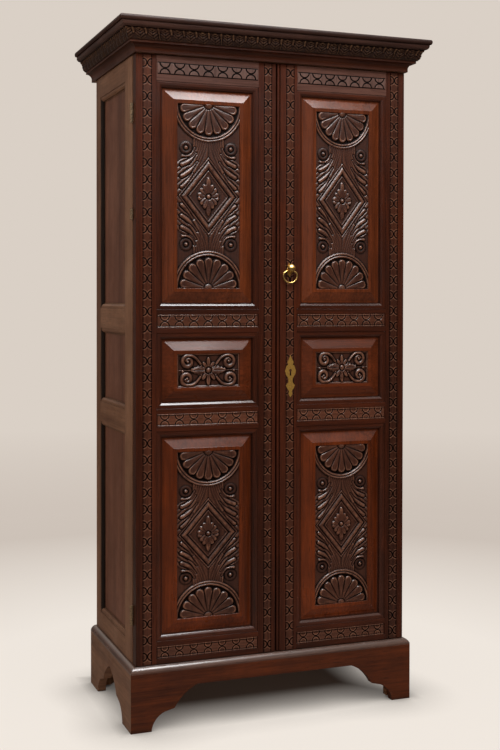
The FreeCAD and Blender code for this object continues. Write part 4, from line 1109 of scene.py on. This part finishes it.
LOCK_IRON = MetalFinish("old_lock_iron", (96, 92, 88), (52, 46, 42), roughness=0.45, tarnish=0.7)

FINISHED_NODES = (
    (STILE_WOOD, ("door_hinge_stile", "door_meeting_stile", "door_closing_bead")),
    (RAIL_WOOD, ("door_bottom_rail", "door_lower_rail", "door_upper_rail", "front_top_rail")),
    (TOP_RAIL_FADE_AND_SHEEN_WOOD, ("door_top_rail",)),
    (PANEL_WOOD, ("door_lower_panel",)),
    (MIDDLE_PANEL_WOOD, ("door_middle_panel",)),
    (UPPER_PANEL_PAINTED_SHEEN_WOOD, ("door_upper_panel",)),
    (SIDE_WOOD, ("side_front_stile", "side_back_stile")),
    (SIDE_RAIL_WOOD, ("side_rails", "plinth_left", "plinth_right", "plinth_back", "cornice_frame",
                      "shelf_bearers")),
    (SIDE_PANEL_WOOD, ("side_panels",)),
    (PLINTH_WOOD, ("plinth_front",)),
    (BASE_WOOD, ("base_moulding",)),
    (MOULDING_WOOD, ("cornice_cove",)),
    (CORNICE_WOOD, ("cornice_leaf_band",)),
    (ROLL_WOOD, ("cornice_roll",)),
    (SLAB_WOOD, ("cornice_top_board",)),
    (SHELF_WOOD, ("bottom_board", "top_board", "shelves")),
    (PLAIN_WOOD, ("glue_blocks", "back_boards")),
    (HINGE_BRASS, ("hinge_case_leaves", "hinge_door_leaves")),
    (PLATE_BRASS, ("escutcheon", "pull_backplate")),
    (BRIGHT_BRASS, ("pull_knob", "pull_ring")),
    (LOCK_IRON, ("bolt_plates", "upper_bolt", "lower_bolt", "lock_case", "lock_bolt", "lock_keeper")),
)
NODE_FINISHES = {node: finish for finish, nodes in FINISHED_NODES for node in nodes}


def dress_nodes() -> None:
    """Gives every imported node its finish, by its own name or by the end of it."""
    for name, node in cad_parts.items():
        finish = NODE_FINISHES.get(name) or NODE_FINISHES[name.split("_", 1)[1]]
        node.data.materials.clear()
        node.data.materials.append(finish.material())
        log.info("%s is finished as %s", name, finish.name)


# Sub-assemblies

@dataclass(frozen=True)
class PanelMoulding:
    """Round-faced moulding between a frame's face and its panels."""

    quirk: float = 1.5
    outer_fillet: float = 4.5
    radius: float = 8.5
    inner_fillet: float = 3.5
    proud: float = 0.06
    face_lean: float = 38.0
    crown: float = 0.14
    face_points: int = 7
    edge_gap: float = 0.3
    step: float = 0.5
    panel_gap: float = 0.1

    def profile(self) -> list[Pair]:
        """Section from the frame's face inwards: a fillet, a slightly crowned face, a drop and a fillet.

        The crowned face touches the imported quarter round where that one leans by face_lean.
        """
        lean = math.radians(self.face_lean)
        start = self.outer_fillet + self.radius * (math.sin(lean) - math.tan(lean / 2) * math.cos(lean))
        edge = self.outer_fillet + self.radius
        run = edge - start
        share = np.linspace(0, 1, self.face_points)
        inset = start + run * share + self.proud
        depth = self.quirk + run * math.tan(lean) * share - 4 * self.crown * share * (1 - share)
        top = self.quirk - self.proud
        foot = self.quirk + self.radius - self.proud
        width = edge + self.inner_fillet - self.panel_gap
        return [(self.edge_gap, top), (start - self.step, top), *zip(inset.tolist(), depth.tolist()),
                (edge + self.proud, foot), (width, foot), (width, foot + self.step),
                (self.edge_gap, foot + self.step)]

    def build(self, name: str, low: Pair, high: Pair, body: str, woods: tuple[Finish, Finish], slot: str,
              place: Place = in_frame) -> None:
        """One opening's moulding.

        Args:
            name: The piece's name.
            low: Left and lower edge of the opening.
            high: Right and upper edge of the opening.
            body: The body it rides on.
            woods: Finish of its level and its upright runs.
            slot: The record's finish slot.
            place: Turns places across, depths and heights into metres of the frame.
        """
        ride_as(framed_ring(name, low, high, self.profile(), place), body, slot, *woods)


@dataclass
class SideFrame:
    """Mouldings round the three openings of one side of the case."""

    side: str
    moulding_width: float = 16.5
    rail_faces: tuple[float, ...] = (56.5, 60.5, 61.5, 62.5)
    openings: tuple[float, ...] = (600.5, 230.5)

    def build(self) -> None:
        """Builds them from the stiles' and rails' packed boxes."""
        stile_low, stile_high = drawn_box(f"{self.side}_side_front_stile")
        rails_low, rails_high = drawn_box(f"{self.side}_side_rails")
        back_low, _ = drawn_box(f"{self.side}_side_back_stile")
        sign = -1 if self.side == "left" else 1
        face = max(abs(stile_low[0]), abs(stile_high[0]))

        def place(across: np.ndarray, depth: np.ndarray, up: np.ndarray) -> np.ndarray:
            """Places on the side's face: across runs to the back, or to the front on the left side."""
            return in_frame(sign * (face - depth), across * sign, up)

        front, back = stile_high[1] - self.moulding_width, back_low[1] + self.moulding_width
        left, right = sorted((front * sign, back * sign))
        top = rails_low[2]
        for number, rail_face in enumerate(self.rail_faces[:-1]):
            start = top + rail_face
            last = number == len(self.openings)
            top = rails_high[2] - self.rail_faces[-1] if last else start + self.openings[number]
            # Upright runs take the near-black finish of painted shade.
            PanelMoulding().build(f"{self.side}_side_moulding_{number + 1}", (left, start), (right, top),
                                  "case", (SIDE_RAIL_WOOD, SIDE_MOULDING_PAINTED_SHADE_WOOD), "side_wood", place)


@dataclass
class Door:
    """One door's carving, laid in the recesses of its panels, stiles and rails."""

    body: str
    meeting_stile_offset: float
    meeting_band_width: float
    hinge_stile_offset: float = 33.3
    hinge_band_width: float = 27.5
    moulding: float = 16.5
    panel_tongue: float = 8.0
    tongue_front: float = 11.4
    panel_margin: float = 4.0
    bevel_width: float = 26.0
    field_step: float = 1.5
    field_border: float = 10.5
    field_ease: Pair = (0.5, 0.4)
    floor_ease: Pair = (0.6, 0.5)
    floor_lean: float = 0.9
    carving_depth: float = 5.0
    ground_lift: float = 0.4
    sole: float = 0.3
    band_depth: float = 2.0
    cut_depth: float = 0.6
    stile_pitch: float = 46.0
    stile_end_gap: float = 1.0
    rail_pitch: float = 42.0
    rail_bands: tuple[tuple[str, float, float], ...] = (
        ("top_rail", -36.0, 34.5), ("upper_rail", -33.5, 38.0), ("lower_rail", -32.0, 36.0),
        ("bottom_rail", -32.0, 34.0))

    def build(self) -> None:
        """Builds every carved piece of the door."""
        for panel in ("lower_panel", "middle_panel", "upper_panel"):
            self.opening_moulding(panel)
            self.panel_blank(panel)
            self.panel_carving(panel)
        for rail, drop, width in self.rail_bands:
            self.rail_band(rail, drop, width)
        self.stile_band("hinge_stile", self.hinge_stile_offset, self.hinge_band_width)
        self.stile_band("meeting_stile", self.meeting_stile_offset, self.meeting_band_width)

    def opening(self, panel: str) -> tuple[np.ndarray, np.ndarray]:
        """Lowest and highest corner of one panel's opening."""
        low, high = drawn_box(f"{self.body}_{panel}")
        grow = self.moulding - self.panel_tongue
        return low - grow, high + grow

    def opening_moulding(self, panel: str) -> None:
        """Moulding round one panel's opening."""
        low, high = self.opening(panel)
        PanelMoulding().build(f"{self.body}_{panel}_moulding", (low[0], low[2]), (high[0], high[2]),
                              self.body, (MOULDED_RAIL_WOOD, MOULDED_STILE_WOOD), "frame_wood")

    def panel_blank(self, panel: str) -> None:
        """Raised panel: tongue, margin, wide bevel, step, border and sunk floor, cut a little by hand."""
        node = f"{self.body}_{panel}"
        low, high = drawn_box(node)
        bevel_rim = self.panel_tongue + self.panel_margin
        field_rim = bevel_rim + self.bevel_width
        floor_rim = field_rim + self.field_border
        face = low[1]
        profile = [(floor_rim + self.floor_lean, face + self.carving_depth),
                   (floor_rim, face + self.floor_ease[1]), (floor_rim - self.floor_ease[0], face),
                   (field_rim + self.field_ease[0], face), (field_rim, face + self.field_ease[1]),
                   (field_rim, face + self.field_step), (bevel_rim, self.tongue_front),
                   (0, self.tongue_front), (0, high[1])]
        blank = framed_slab(f"{node}_blank", (low[0], low[2]), (high[0], high[2]), profile)
        ride_as(blank, self.body, "panel_wood", NODE_FINISHES[f"door_{panel}"])
        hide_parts(node)

    def panel_carving(self, panel: str) -> None:
        """Relief in the sunk field of one panel."""
        low, high = drawn_box(f"{self.body}_{panel}")
        floor_y = low[1] + self.carving_depth - self.ground_lift
        rim = self.panel_tongue + self.panel_margin + self.bevel_width + self.field_border
        form = ScrollCarving if panel == "middle_panel" else LozengeCarving
        relief = form(high[0] - low[0] - 2 * rim, high[2] - low[2] - 2 * rim).relief()
        middle = ((low[0] + high[0]) / 2, (low[2] + high[2]) / 2)
        carving = relief.object(f"{self.body}_{panel}_carving", middle, floor_y, self.ground_lift + self.sole)
        ride_as(carving, self.body, "panel_wood", CARVED_WOOD)

    def rail_band(self, rail: str, drop: float, width: float) -> None:
        """Band along one rail, its middle drop below the rail's upper edge."""
        _, high = drawn_box(f"{self.body}_{rail}")
        left, right = (corner[0] for corner in self.opening("upper_panel"))
        if rail == "top_rail":
            cut, depth, floor_y, top, wood = BandCut.INCISED, self.cut_depth, 0.0, high[2], TOP_BAND_FADE_AND_SHEEN_WOOD
        else:
            cut, depth, floor_y = BandCut.MODELLED, self.band_depth, self.band_depth
            top, wood = high[2] - self.moulding, RAIL_BAND_WOOD
        relief = StarBand(right - left, width, self.rail_pitch, cut, depth=depth).relief()
        band = relief.object(f"{self.body}_{rail}_band", ((left + right) / 2, top + drop), floor_y, self.sole)
        ride_as(band, self.body, "frame_wood", wood)

    def stile_band(self, stile: str, offset: float, width: float) -> None:
        """Band up one stile, its middle offset from the stile's outer edge."""
        low, high = drawn_box(f"{self.body}_{stile}")
        left_side = (self.body == "left_door") == (stile == "hinge_stile")
        middle = (low[0] + offset if left_side else high[0] - offset, (low[2] + high[2]) / 2)
        relief = StarBand(high[2] - low[2] - 2 * self.stile_end_gap, width, self.stile_pitch, BandCut.INCISED,
                          upright=True, depth=self.cut_depth).relief()
        band = relief.object(f"{self.body}_{stile}_band", middle, 0.0, self.sole)
        ride_as(band, self.body, "frame_wood", BAND_WOOD)


def loop_surface(name: str, rings: np.ndarray) -> bpy.types.Object:
    """Closed smooth piece through rings of as many points, with a fan at each end.

    Args:
        name: The piece's name.
        rings: Points in metres, by ring and by place round it, turning left-handed as they advance.

    Returns:
        The linked object.
    """
    count, around, _ = rings.shape
    place = np.arange(count * around).reshape(count, around)
    after = np.roll(place, -1, axis=1)
    sides = np.stack([place[:-1], after[:-1], after[1:], place[1:]], axis=-1).reshape(-1, 4)
    faces = sides.tolist() + [place[0][::-1].tolist(), place[-1].tolist()]
    return mesh_object(name, rings.reshape(-1, 3), faces, smooth=True)


def full_turn(count: int) -> np.ndarray:
    """Evenly spaced angles round a circle."""
    return np.linspace(0, 2 * math.pi, count, endpoint=False)


@dataclass
class RingPull:
    """Cast knob with its drop ring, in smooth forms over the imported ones."""

    knob_profile: tuple[Pair, ...] = (
        (3.4, 1.2), (3.4, 9.0), (4.3, 10.6), (8.0, 12.0), (10.4, 13.8), (11.5, 16.4), (11.6, 19.0),
        (10.9, 21.6), (9.0, 24.2), (6.2, 26.4), (3.2, 27.8), (0.6, 28.3))
    knob_sides: int = 40
    ring_radius: float = 22.0
    ring_drop: float = 12.0
    ring_points: int = 33
    ring_shoulder: tuple[Pair, Pair, Pair] = ((-3.2, 0), (-10.5, 0.6), (-19.5, -0.5))
    wire_radius: float = 2.3
    wire_depth_share: float = 0.95
    wire_sides: int = 16
    pull_reach: float = 8.0

    def build(self) -> None:
        """Builds the knob and the ring."""
        self.knob()
        self.ring()

    def knob(self) -> None:
        """Turned profile: each radius stands at its own reach before the door, all round."""
        low, high = drawn_box("pull_knob")
        x, z = (low[0] + high[0]) / 2, (low[2] + high[2]) / 2
        radius, out = np.array(self.knob_profile).T[:, :, None]
        angle = full_turn(self.knob_sides)
        rings = in_frame(x + radius * np.cos(angle), -out, z + radius * np.sin(angle))
        knob = loop_surface("pull_knob_turned", rings[:, ::-1])
        ride_as(knob, "right_door", "bright_brass", BRIGHT_BRASS)
        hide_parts("pull_knob")

    def ring(self) -> None:
        """Round wire carried along a drop: a half circle whose ends rise and turn in to the pivots."""
        low, high = drawn_box("pull_ring")
        x, top = (low[0] + high[0]) / 2, high[2] - self.wire_radius
        turn = np.linspace(0, math.pi, self.ring_points)
        bow = np.stack([-self.ring_radius * np.cos(turn), -self.ring_drop - self.ring_radius * np.sin(turn)],
                       axis=-1)
        left = bezier(*self.ring_shoulder, tuple(bow[0]), count=12)[:-1]
        path = np.concatenate([left, bow, left[::-1] * (-1, 1)])
        along = np.gradient(path, axis=0)
        along /= np.linalg.norm(along, axis=1)[:, None]
        angle = full_turn(self.wire_sides)
        across = self.wire_radius * np.cos(angle)
        out = self.wire_radius * self.wire_depth_share * np.sin(angle)
        rings = in_frame(x + path[:, :1] + along[:, 1:] * across, -self.pull_reach + out,
                         top + path[:, 1:] - along[:, :1] * across)
        ring = loop_surface("pull_ring_wire", rings)
        ride_as(ring, "pull_ring", "bright_brass", BRIGHT_BRASS)
        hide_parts("pull_ring")


@dataclass
class CorniceCarving:
    """Upright leaves on the cornice's hollow moulding, along the front and both sides."""

    pitch: float = 37.0
    leaf_height: float = 3.2
    leaf_half_share: float = 0.47
    leaf_span: Pair = (0.34, 0.62)
    vein_turns: Pair = (4.6, 3.4)
    rib: Ridge = Ridge(0.0, 0.035, 0.22)
    bud_half_share: float = 0.13
    bud_span: Pair = (0.72, 0.27)
    step: float = 1.5
    rows: int = 23
    sole: float = 1.2
    bow_share: float = 0.12
    foot_gap: float = 2.0
    edge_gap: float = 0.6
    lip_gap: float = 0.4
    least_level: float = 0.05
    marks: float = 0.10
    marked_height: float = 31.0

    def profile(self) -> tuple[np.ndarray, np.ndarray, np.ndarray, np.ndarray]:
        """Overhang, height and outward slope of the moulding's face, from its foot up.

        The face is two arcs, the lower one round and the upper one hollow. Each stands off its
        half of the chord by a share of that half.
        """
        low, high = drawn_box("cornice_leaf_band")
        _, cove_high = drawn_box("cornice_cove")
        start = np.array([cove_high[0] + self.foot_gap, low[2] + self.edge_gap])
        end = np.array([high[0] - self.lip_gap, high[2] - self.edge_gap])
        run = end - start
        share = np.linspace(0, 1, self.rows)[:, None]
        outward = np.array([run[1], -run[0]]) / 2
        half = 2 * share - (share > 0.5)
        side = np.where(share > 0.5, -1, 1)
        points = start + run * share + outward * side * self.bow_share * 4 * half * (1 - half)
        slope = np.gradient(points, axis=0)
        normal = np.stack([slope[:, 1], -slope[:, 0]], axis=-1)
        normal /= np.linalg.norm(normal, axis=1)[:, None]
        return points[:, 0], points[:, 1], normal[:, 0], normal[:, 1]

    def leaves(self, along: np.ndarray, share: np.ndarray) -> np.ndarray:
        """Heights of the leaves: each a pointed arch with a rib and slanting veins, buds between."""
        local = along - np.floor(along) - 0.5
        middle, reach = self.leaf_span
        leaf_outline = np.clip(1 - (np.abs(share - middle) / reach) ** 2.2, 0, 1)
        across = np.abs(local) / (self.leaf_half_share * np.sqrt(leaf_outline) + TINY)
        rising, slanting = self.vein_turns
        veins = 0.78 + 0.22 * np.cos(2 * math.pi * (share * rising - np.abs(local) * slanting))
        body = np.sqrt(np.clip(1 - across ** 2, 0, 1)) * veins * (0.55 + 0.45 * share)
        body -= self.rib.over(local)
        middle, reach = self.bud_span
        bud_outline = np.clip(1 - (np.abs(share - middle) / reach) ** 2, 0, 1)
        from_bud = (0.5 - np.abs(local)) / (self.bud_half_share * np.sqrt(bud_outline) + TINY)
        bud = 0.75 * np.sqrt(np.clip(1 - from_bud ** 2, 0, 1))
        ends = eased(share, 0.0, 0.05) * (1 - eased(share, 0.95, 1.0))
        return self.leaf_height * np.clip(np.maximum(body, bud), 0, 1) * ends

    def build(self) -> None:
        """Builds the front run and the two side runs, mitred at the front corners."""
        reach, height, out, up = (values[:, None] for values in self.profile())
        low, high = drawn_box("cornice_leaf_band")
        grow = high[0] - reach
        depth = high[1] - low[1]

        def on_front(s: np.ndarray, lift: np.ndarray) -> Grids:
            """Places along the front, from shares of its half length and a lift off the moulding."""
            return s * (reach + lift * out), low[1] + grow - lift * out, height + lift * up

        self.run("front", 2 * high[0], on_front)
        for name, sign in (("left", -1), ("right", 1)):

            def on_side(s: np.ndarray, lift: np.ndarray, sign: int = sign) -> Grids:
                """Places along one side, to the back on the right and to the front on the left."""
                middle = (high[1] + low[1] + grow - lift * out) / 2
                along = middle + sign * s * (depth - grow + lift * out) / 2
                return sign * (reach + lift * out), along, height + lift * up

            self.run(name, depth, on_side)

    def run(self, name: str, length: float, place: Callable[[np.ndarray, np.ndarray], Grids]) -> None:
        """One run of whole leaves.

        Args:
            name: Which run it is.
            length: Its length.
            place: Gives drawn places from shares of the half length and a lift off the moulding.
        """
        columns = 2 * round(length / self.step / 2) + 1
        s = np.linspace(-1, 1, columns)[None, :]
        share = np.linspace(0, 1, self.rows)[:, None]
        repeats = round(length / self.pitch)
        level = self.leaves((s + 1) / 2 * repeats + 0.5, share)
        level += self.marks * ripple(s * length / 2, share * self.marked_height, 11)
        level = np.maximum(level, self.least_level)
        front = in_frame(*place(s, level))
        back = in_frame(*place(s, np.full_like(level, -self.sole)))[[0, -1]]
        carve = level - softened(softened(level, 2), 2)
        piece = shell_object(f"cornice_leaf_carving_{name}", front, back, carve)
        ride_as(piece, "case", "moulding_wood", CORNICE_CARVED_WOOD)


# Studio

class LampUse(Enum):
    """What a lamp does to the object."""

    COLOUR = "lights colours"
    POLISH = "shows in polish"


@dataclass(frozen=True)
class Lamp:
    """Soft rectangular lamp, with its drawn place and target and its size in metres."""

    name: str
    place: Triple
    target: Triple
    size: Pair
    radiance: float
    colour: Triple
    use: LampUse = LampUse.COLOUR

    def build(self) -> None:
        """Builds the lamp, as bright at every size."""
        data = bpy.data.lights.new(self.name, "AREA")
        data.shape = "RECTANGLE"
        data.size, data.size_y = self.size
        data.energy = self.radiance * math.pi * self.size[0] * self.size[1]
        data.color = self.colour
        lamp = linked(self.name, data)
        lamp.visible_glossy = self.use is LampUse.POLISH
        lamp.visible_diffuse = self.use is LampUse.COLOUR
        lamp.location = Vector(self.place) + Vector((0, DOOR_FACE, 0))
        lamp.rotation_mode = "QUATERNION"
        lamp.rotation_quaternion = (Vector(self.target) - Vector(self.place)).to_track_quat("-Z", "Y")


@dataclass(frozen=True)
class Studio:
    """The plain floor, the soft lamps, the pale surroundings and the camera."""

    backdrop: Triple = (218, 208, 198)
    horizon: Triple = (206, 195, 185)
    floor_colour: Triple = (243, 235, 226)
    floor_radius: float = 14.0
    floor_corners: int = 64
    # Distances over which the painted pool of light round the cabinet darkens to the horizon tone.
    floor_shade: Pair = (1.0, 2.6)
    floor_fade: Pair = (3.4, 7.5)
    polish_dim: float = 0.65
    glow_share: float = 0.9
    glow_fade: Pair = (0.6, 3.2)
    # Painted shadow under the cabinet: its tone, how it eases, and its edges across, in front and behind.
    painted_shadow_tone: Triple = (40, 30, 24)
    painted_shadow_power: float = 1.5
    painted_shadow_across: Pair = (0.30, 0.48)
    painted_shadow_front: Pair = (-0.26, -0.02)
    painted_shadow_back: Pair = (0.20, 0.32)
    shadow_reach: float = 0.18
    shadow_power: float = 1.1
    back_span: Pair = (-0.35, 0.45)
    back_glow: float = 0.16
    above_span: Pair = (0.16, 0.50)
    above_glow: float = 1.4
    room_level: float = 0.36
    lamps: tuple[Lamp, ...] = (
        Lamp("polish_box", (-0.15, -0.95, 3.3), (-0.10, -0.15, 1.1), (1.9, 1.1), 27.0, (0.95, 0.98, 1.0),
             LampUse.POLISH),
        Lamp("left_fill", (-3.0, 0.1, 2.2), (-0.4, 0.2, 1.2), (1.6, 1.8), 2.6, (1.0, 0.94, 0.88)),
        Lamp("top_box", (0.10, -1.6, 3.3), (0.10, -0.15, 1.1), (1.8, 1.4), 6.0, (1.0, 0.97, 0.94)),
        Lamp("front_fill", (-2.1, -3.6, 1.9), (0, 0, 1.0), (2.0, 1.6), 4.0, (1.0, 0.96, 0.92)),
        Lamp("right_fill", (3.2, -2.6, 2.0), (0, 0, 1.0), (1.6, 1.6), 0.6, (1.0, 0.94, 0.88)))
    camera_place: Triple = (-1310.329, -3250.261, 1227.059)
    yaw: float = 0.362158
    pitch: float = 0.016236
    roll: float = 0.001474
    sensor: float = 36.0
    focal_pixels: float = 1195.632
    frame_height: float = 750.0
    horizon_pixel: float = 316.633

    def build(self) -> None:
        """Builds all of it."""
        self.surroundings()
        self.floor()
        for lamp in self.lamps:
            lamp.build()
        self.camera()
        log.info("studio: %d lamps, a floor and a camera", len(self.lamps))

    def surroundings(self) -> None:
        """World: the backdrop's colour for the camera, and a dim room with a bright back for polish."""
        world = bpy.data.worlds.new("studio")
        bpy.context.scene.world = world
        world.use_nodes = True
        sketch = Sketch(world.node_tree)
        rays = sketch.add("ShaderNodeLightPath").outputs
        direction = sketch.add("ShaderNodeTexCoord").outputs["Generated"]
        toward = sketch.add("ShaderNodeSeparateXYZ", {0: direction}).outputs
        back = sketch.span(toward["Y"], *self.back_span, 0.0, self.back_glow)
        above = sketch.span(toward["Z"], *self.above_span, 0.0, self.above_glow)
        glow = sketch.math("MAXIMUM", back, above)
        seen = sketch.math("MAXIMUM", rays["Is Camera Ray"], rays["Is Transmission Ray"])
        room = (self.room_level, self.room_level, self.room_level, 1)
        strength = sketch.mix(seen, sketch.mix(rays["Is Glossy Ray"], room, WHITE), WHITE)
        glossy = sketch.times(rays["Is Glossy Ray"], sketch.math("SUBTRACT", 1.0, seen))
        level = sketch.mix(glossy, strength, glow)
        colour = sketch.mix(1.0, level, shown(*self.backdrop), "MULTIPLY")
        surface = sketch.add("ShaderNodeBackground", {"Color": colour})
        sketch.add("ShaderNodeOutputWorld", {"Surface": surface.outputs[0]})

    def floor(self) -> None:
        """Round floor that fades into the backdrop far from the cabinet."""
        angle = full_turn(self.floor_corners)
        points = np.stack([np.cos(angle), np.sin(angle), np.zeros_like(angle)], axis=-1) * self.floor_radius
        floor = mesh_object("floor", points, [list(range(self.floor_corners))])
        made = bpy.data.materials.new("studio_floor")
        made.use_nodes = True
        sketch = Sketch(made.node_tree)
        place = sketch.add("ShaderNodeTexCoord").outputs["Object"]
        away = sketch.add("ShaderNodeVectorMath", {0: place}, operation="LENGTH").outputs["Value"]
        # Painted pool of light: the floor is lighter near the cabinet and darker towards the horizon before
        # it fades into the backdrop.
        near_tone, far_tone = shown(*self.floor_colour), shown(*self.horizon)
        tone = sketch.mix(sketch.span(away, *self.floor_shade), near_tone, far_tone)
        tone = sketch.mix(sketch.span(away, *self.floor_fade), tone, shown(*self.backdrop))
        rays = sketch.add("ShaderNodeLightPath").outputs
        dimmed = sketch.math("SUBTRACT", 1.0, sketch.times(rays["Is Glossy Ray"], self.polish_dim))
        lit = sketch.add("ShaderNodeBsdfDiffuse", {"Color": sketch.mix(dimmed, (0, 0, 0, 1), tone)})
        glow = self.floor_glow_with_painted_shadow(sketch, place, tone)
        seen = sketch.times(rays["Is Camera Ray"], sketch.span(away, *self.glow_fade, self.glow_share, 1.0))
        mixed = sketch.add("ShaderNodeMixShader", {0: seen, 1: lit.outputs[0], 2: glow})
        sketch.add("ShaderNodeOutputMaterial", {"Surface": mixed.outputs[0]})
        floor.data.materials.append(made)

    def floor_glow_with_painted_shadow(self, sketch: Sketch, place: Value, tone: Value) -> bpy.types.NodeSocket:
        """Even glow of the floor as the camera sees it, with the cabinet's shadow painted in.

        Args:
            sketch: The floor's nodes.
            place: Place on the floor in metres.
            tone: The floor's colour there.

        Returns:
            The glow's shader.
        """
        # Painted shadow: a dark tone over the cabinet's footprint, easing out past its edges.
        axes = sketch.add("ShaderNodeSeparateXYZ", {0: place}).outputs
        across = sketch.span(sketch.math("ABSOLUTE", axes["X"], 0.0), *self.painted_shadow_across)
        front = sketch.span(axes["Y"], *self.painted_shadow_front, 1.0, 0.0)
        back = sketch.span(axes["Y"], *self.painted_shadow_back)
        outside = sketch.math("MAXIMUM", across, sketch.math("MAXIMUM", front, back))
        shade = sketch.mix(sketch.math("POWER", outside, self.painted_shadow_power), shown(*self.painted_shadow_tone), tone)
        # Painted shadow: the glow dims where an occlusion test finds the cabinet near.
        near = sketch.add("ShaderNodeAmbientOcclusion", {"Distance": self.shadow_reach}, samples=12)
        strength = sketch.math("POWER", near.outputs["AO"], self.shadow_power)
        return sketch.add("ShaderNodeEmission", {"Color": shade, "Strength": strength}).outputs[0]

    def camera(self) -> None:
        """Camera at the photograph's place, from its angles, focal length and horizon."""
        level = math.cos(self.pitch)
        forward = Vector((math.sin(self.yaw) * level, math.cos(self.yaw) * level, -math.sin(self.pitch)))
        right = Vector((math.cos(self.yaw), -math.sin(self.yaw), 0))
        up = right.cross(forward)
        right, up = (right * math.cos(self.roll) + up * math.sin(self.roll),
                     up * math.cos(self.roll) - right * math.sin(self.roll))
        data = bpy.data.cameras.new("camera")
        data.sensor_fit = "VERTICAL"
        data.sensor_height = data.sensor_width = self.sensor
        data.lens = self.focal_pixels * self.sensor / self.frame_height
        data.shift_y = -(self.frame_height / 2 - self.horizon_pixel) / self.frame_height
        camera = linked("camera", data)
        place = Vector(self.camera_place) * MM + Vector((0, DOOR_FACE, 0))
        axes = Matrix((right, up, -forward)).transposed().to_4x4()
        camera.matrix_world = Matrix.Translation(place) @ axes
        bpy.context.scene.camera = camera


def main() -> None:
    """Builds the studio and every sub-assembly in order."""
    bpy.context.scene.view_settings.view_transform = "Standard"
    dress_nodes()
    for body, offset, width in (("left_door", 23.8, 25.0), ("right_door", 31.5, 26.0)):
        Door(body, offset, width).build()
    for side in ("left", "right"):
        SideFrame(side).build()
    CorniceCarving().build()
    RingPull().build()
    Studio().build()


if __name__ == "__main__":
    main()
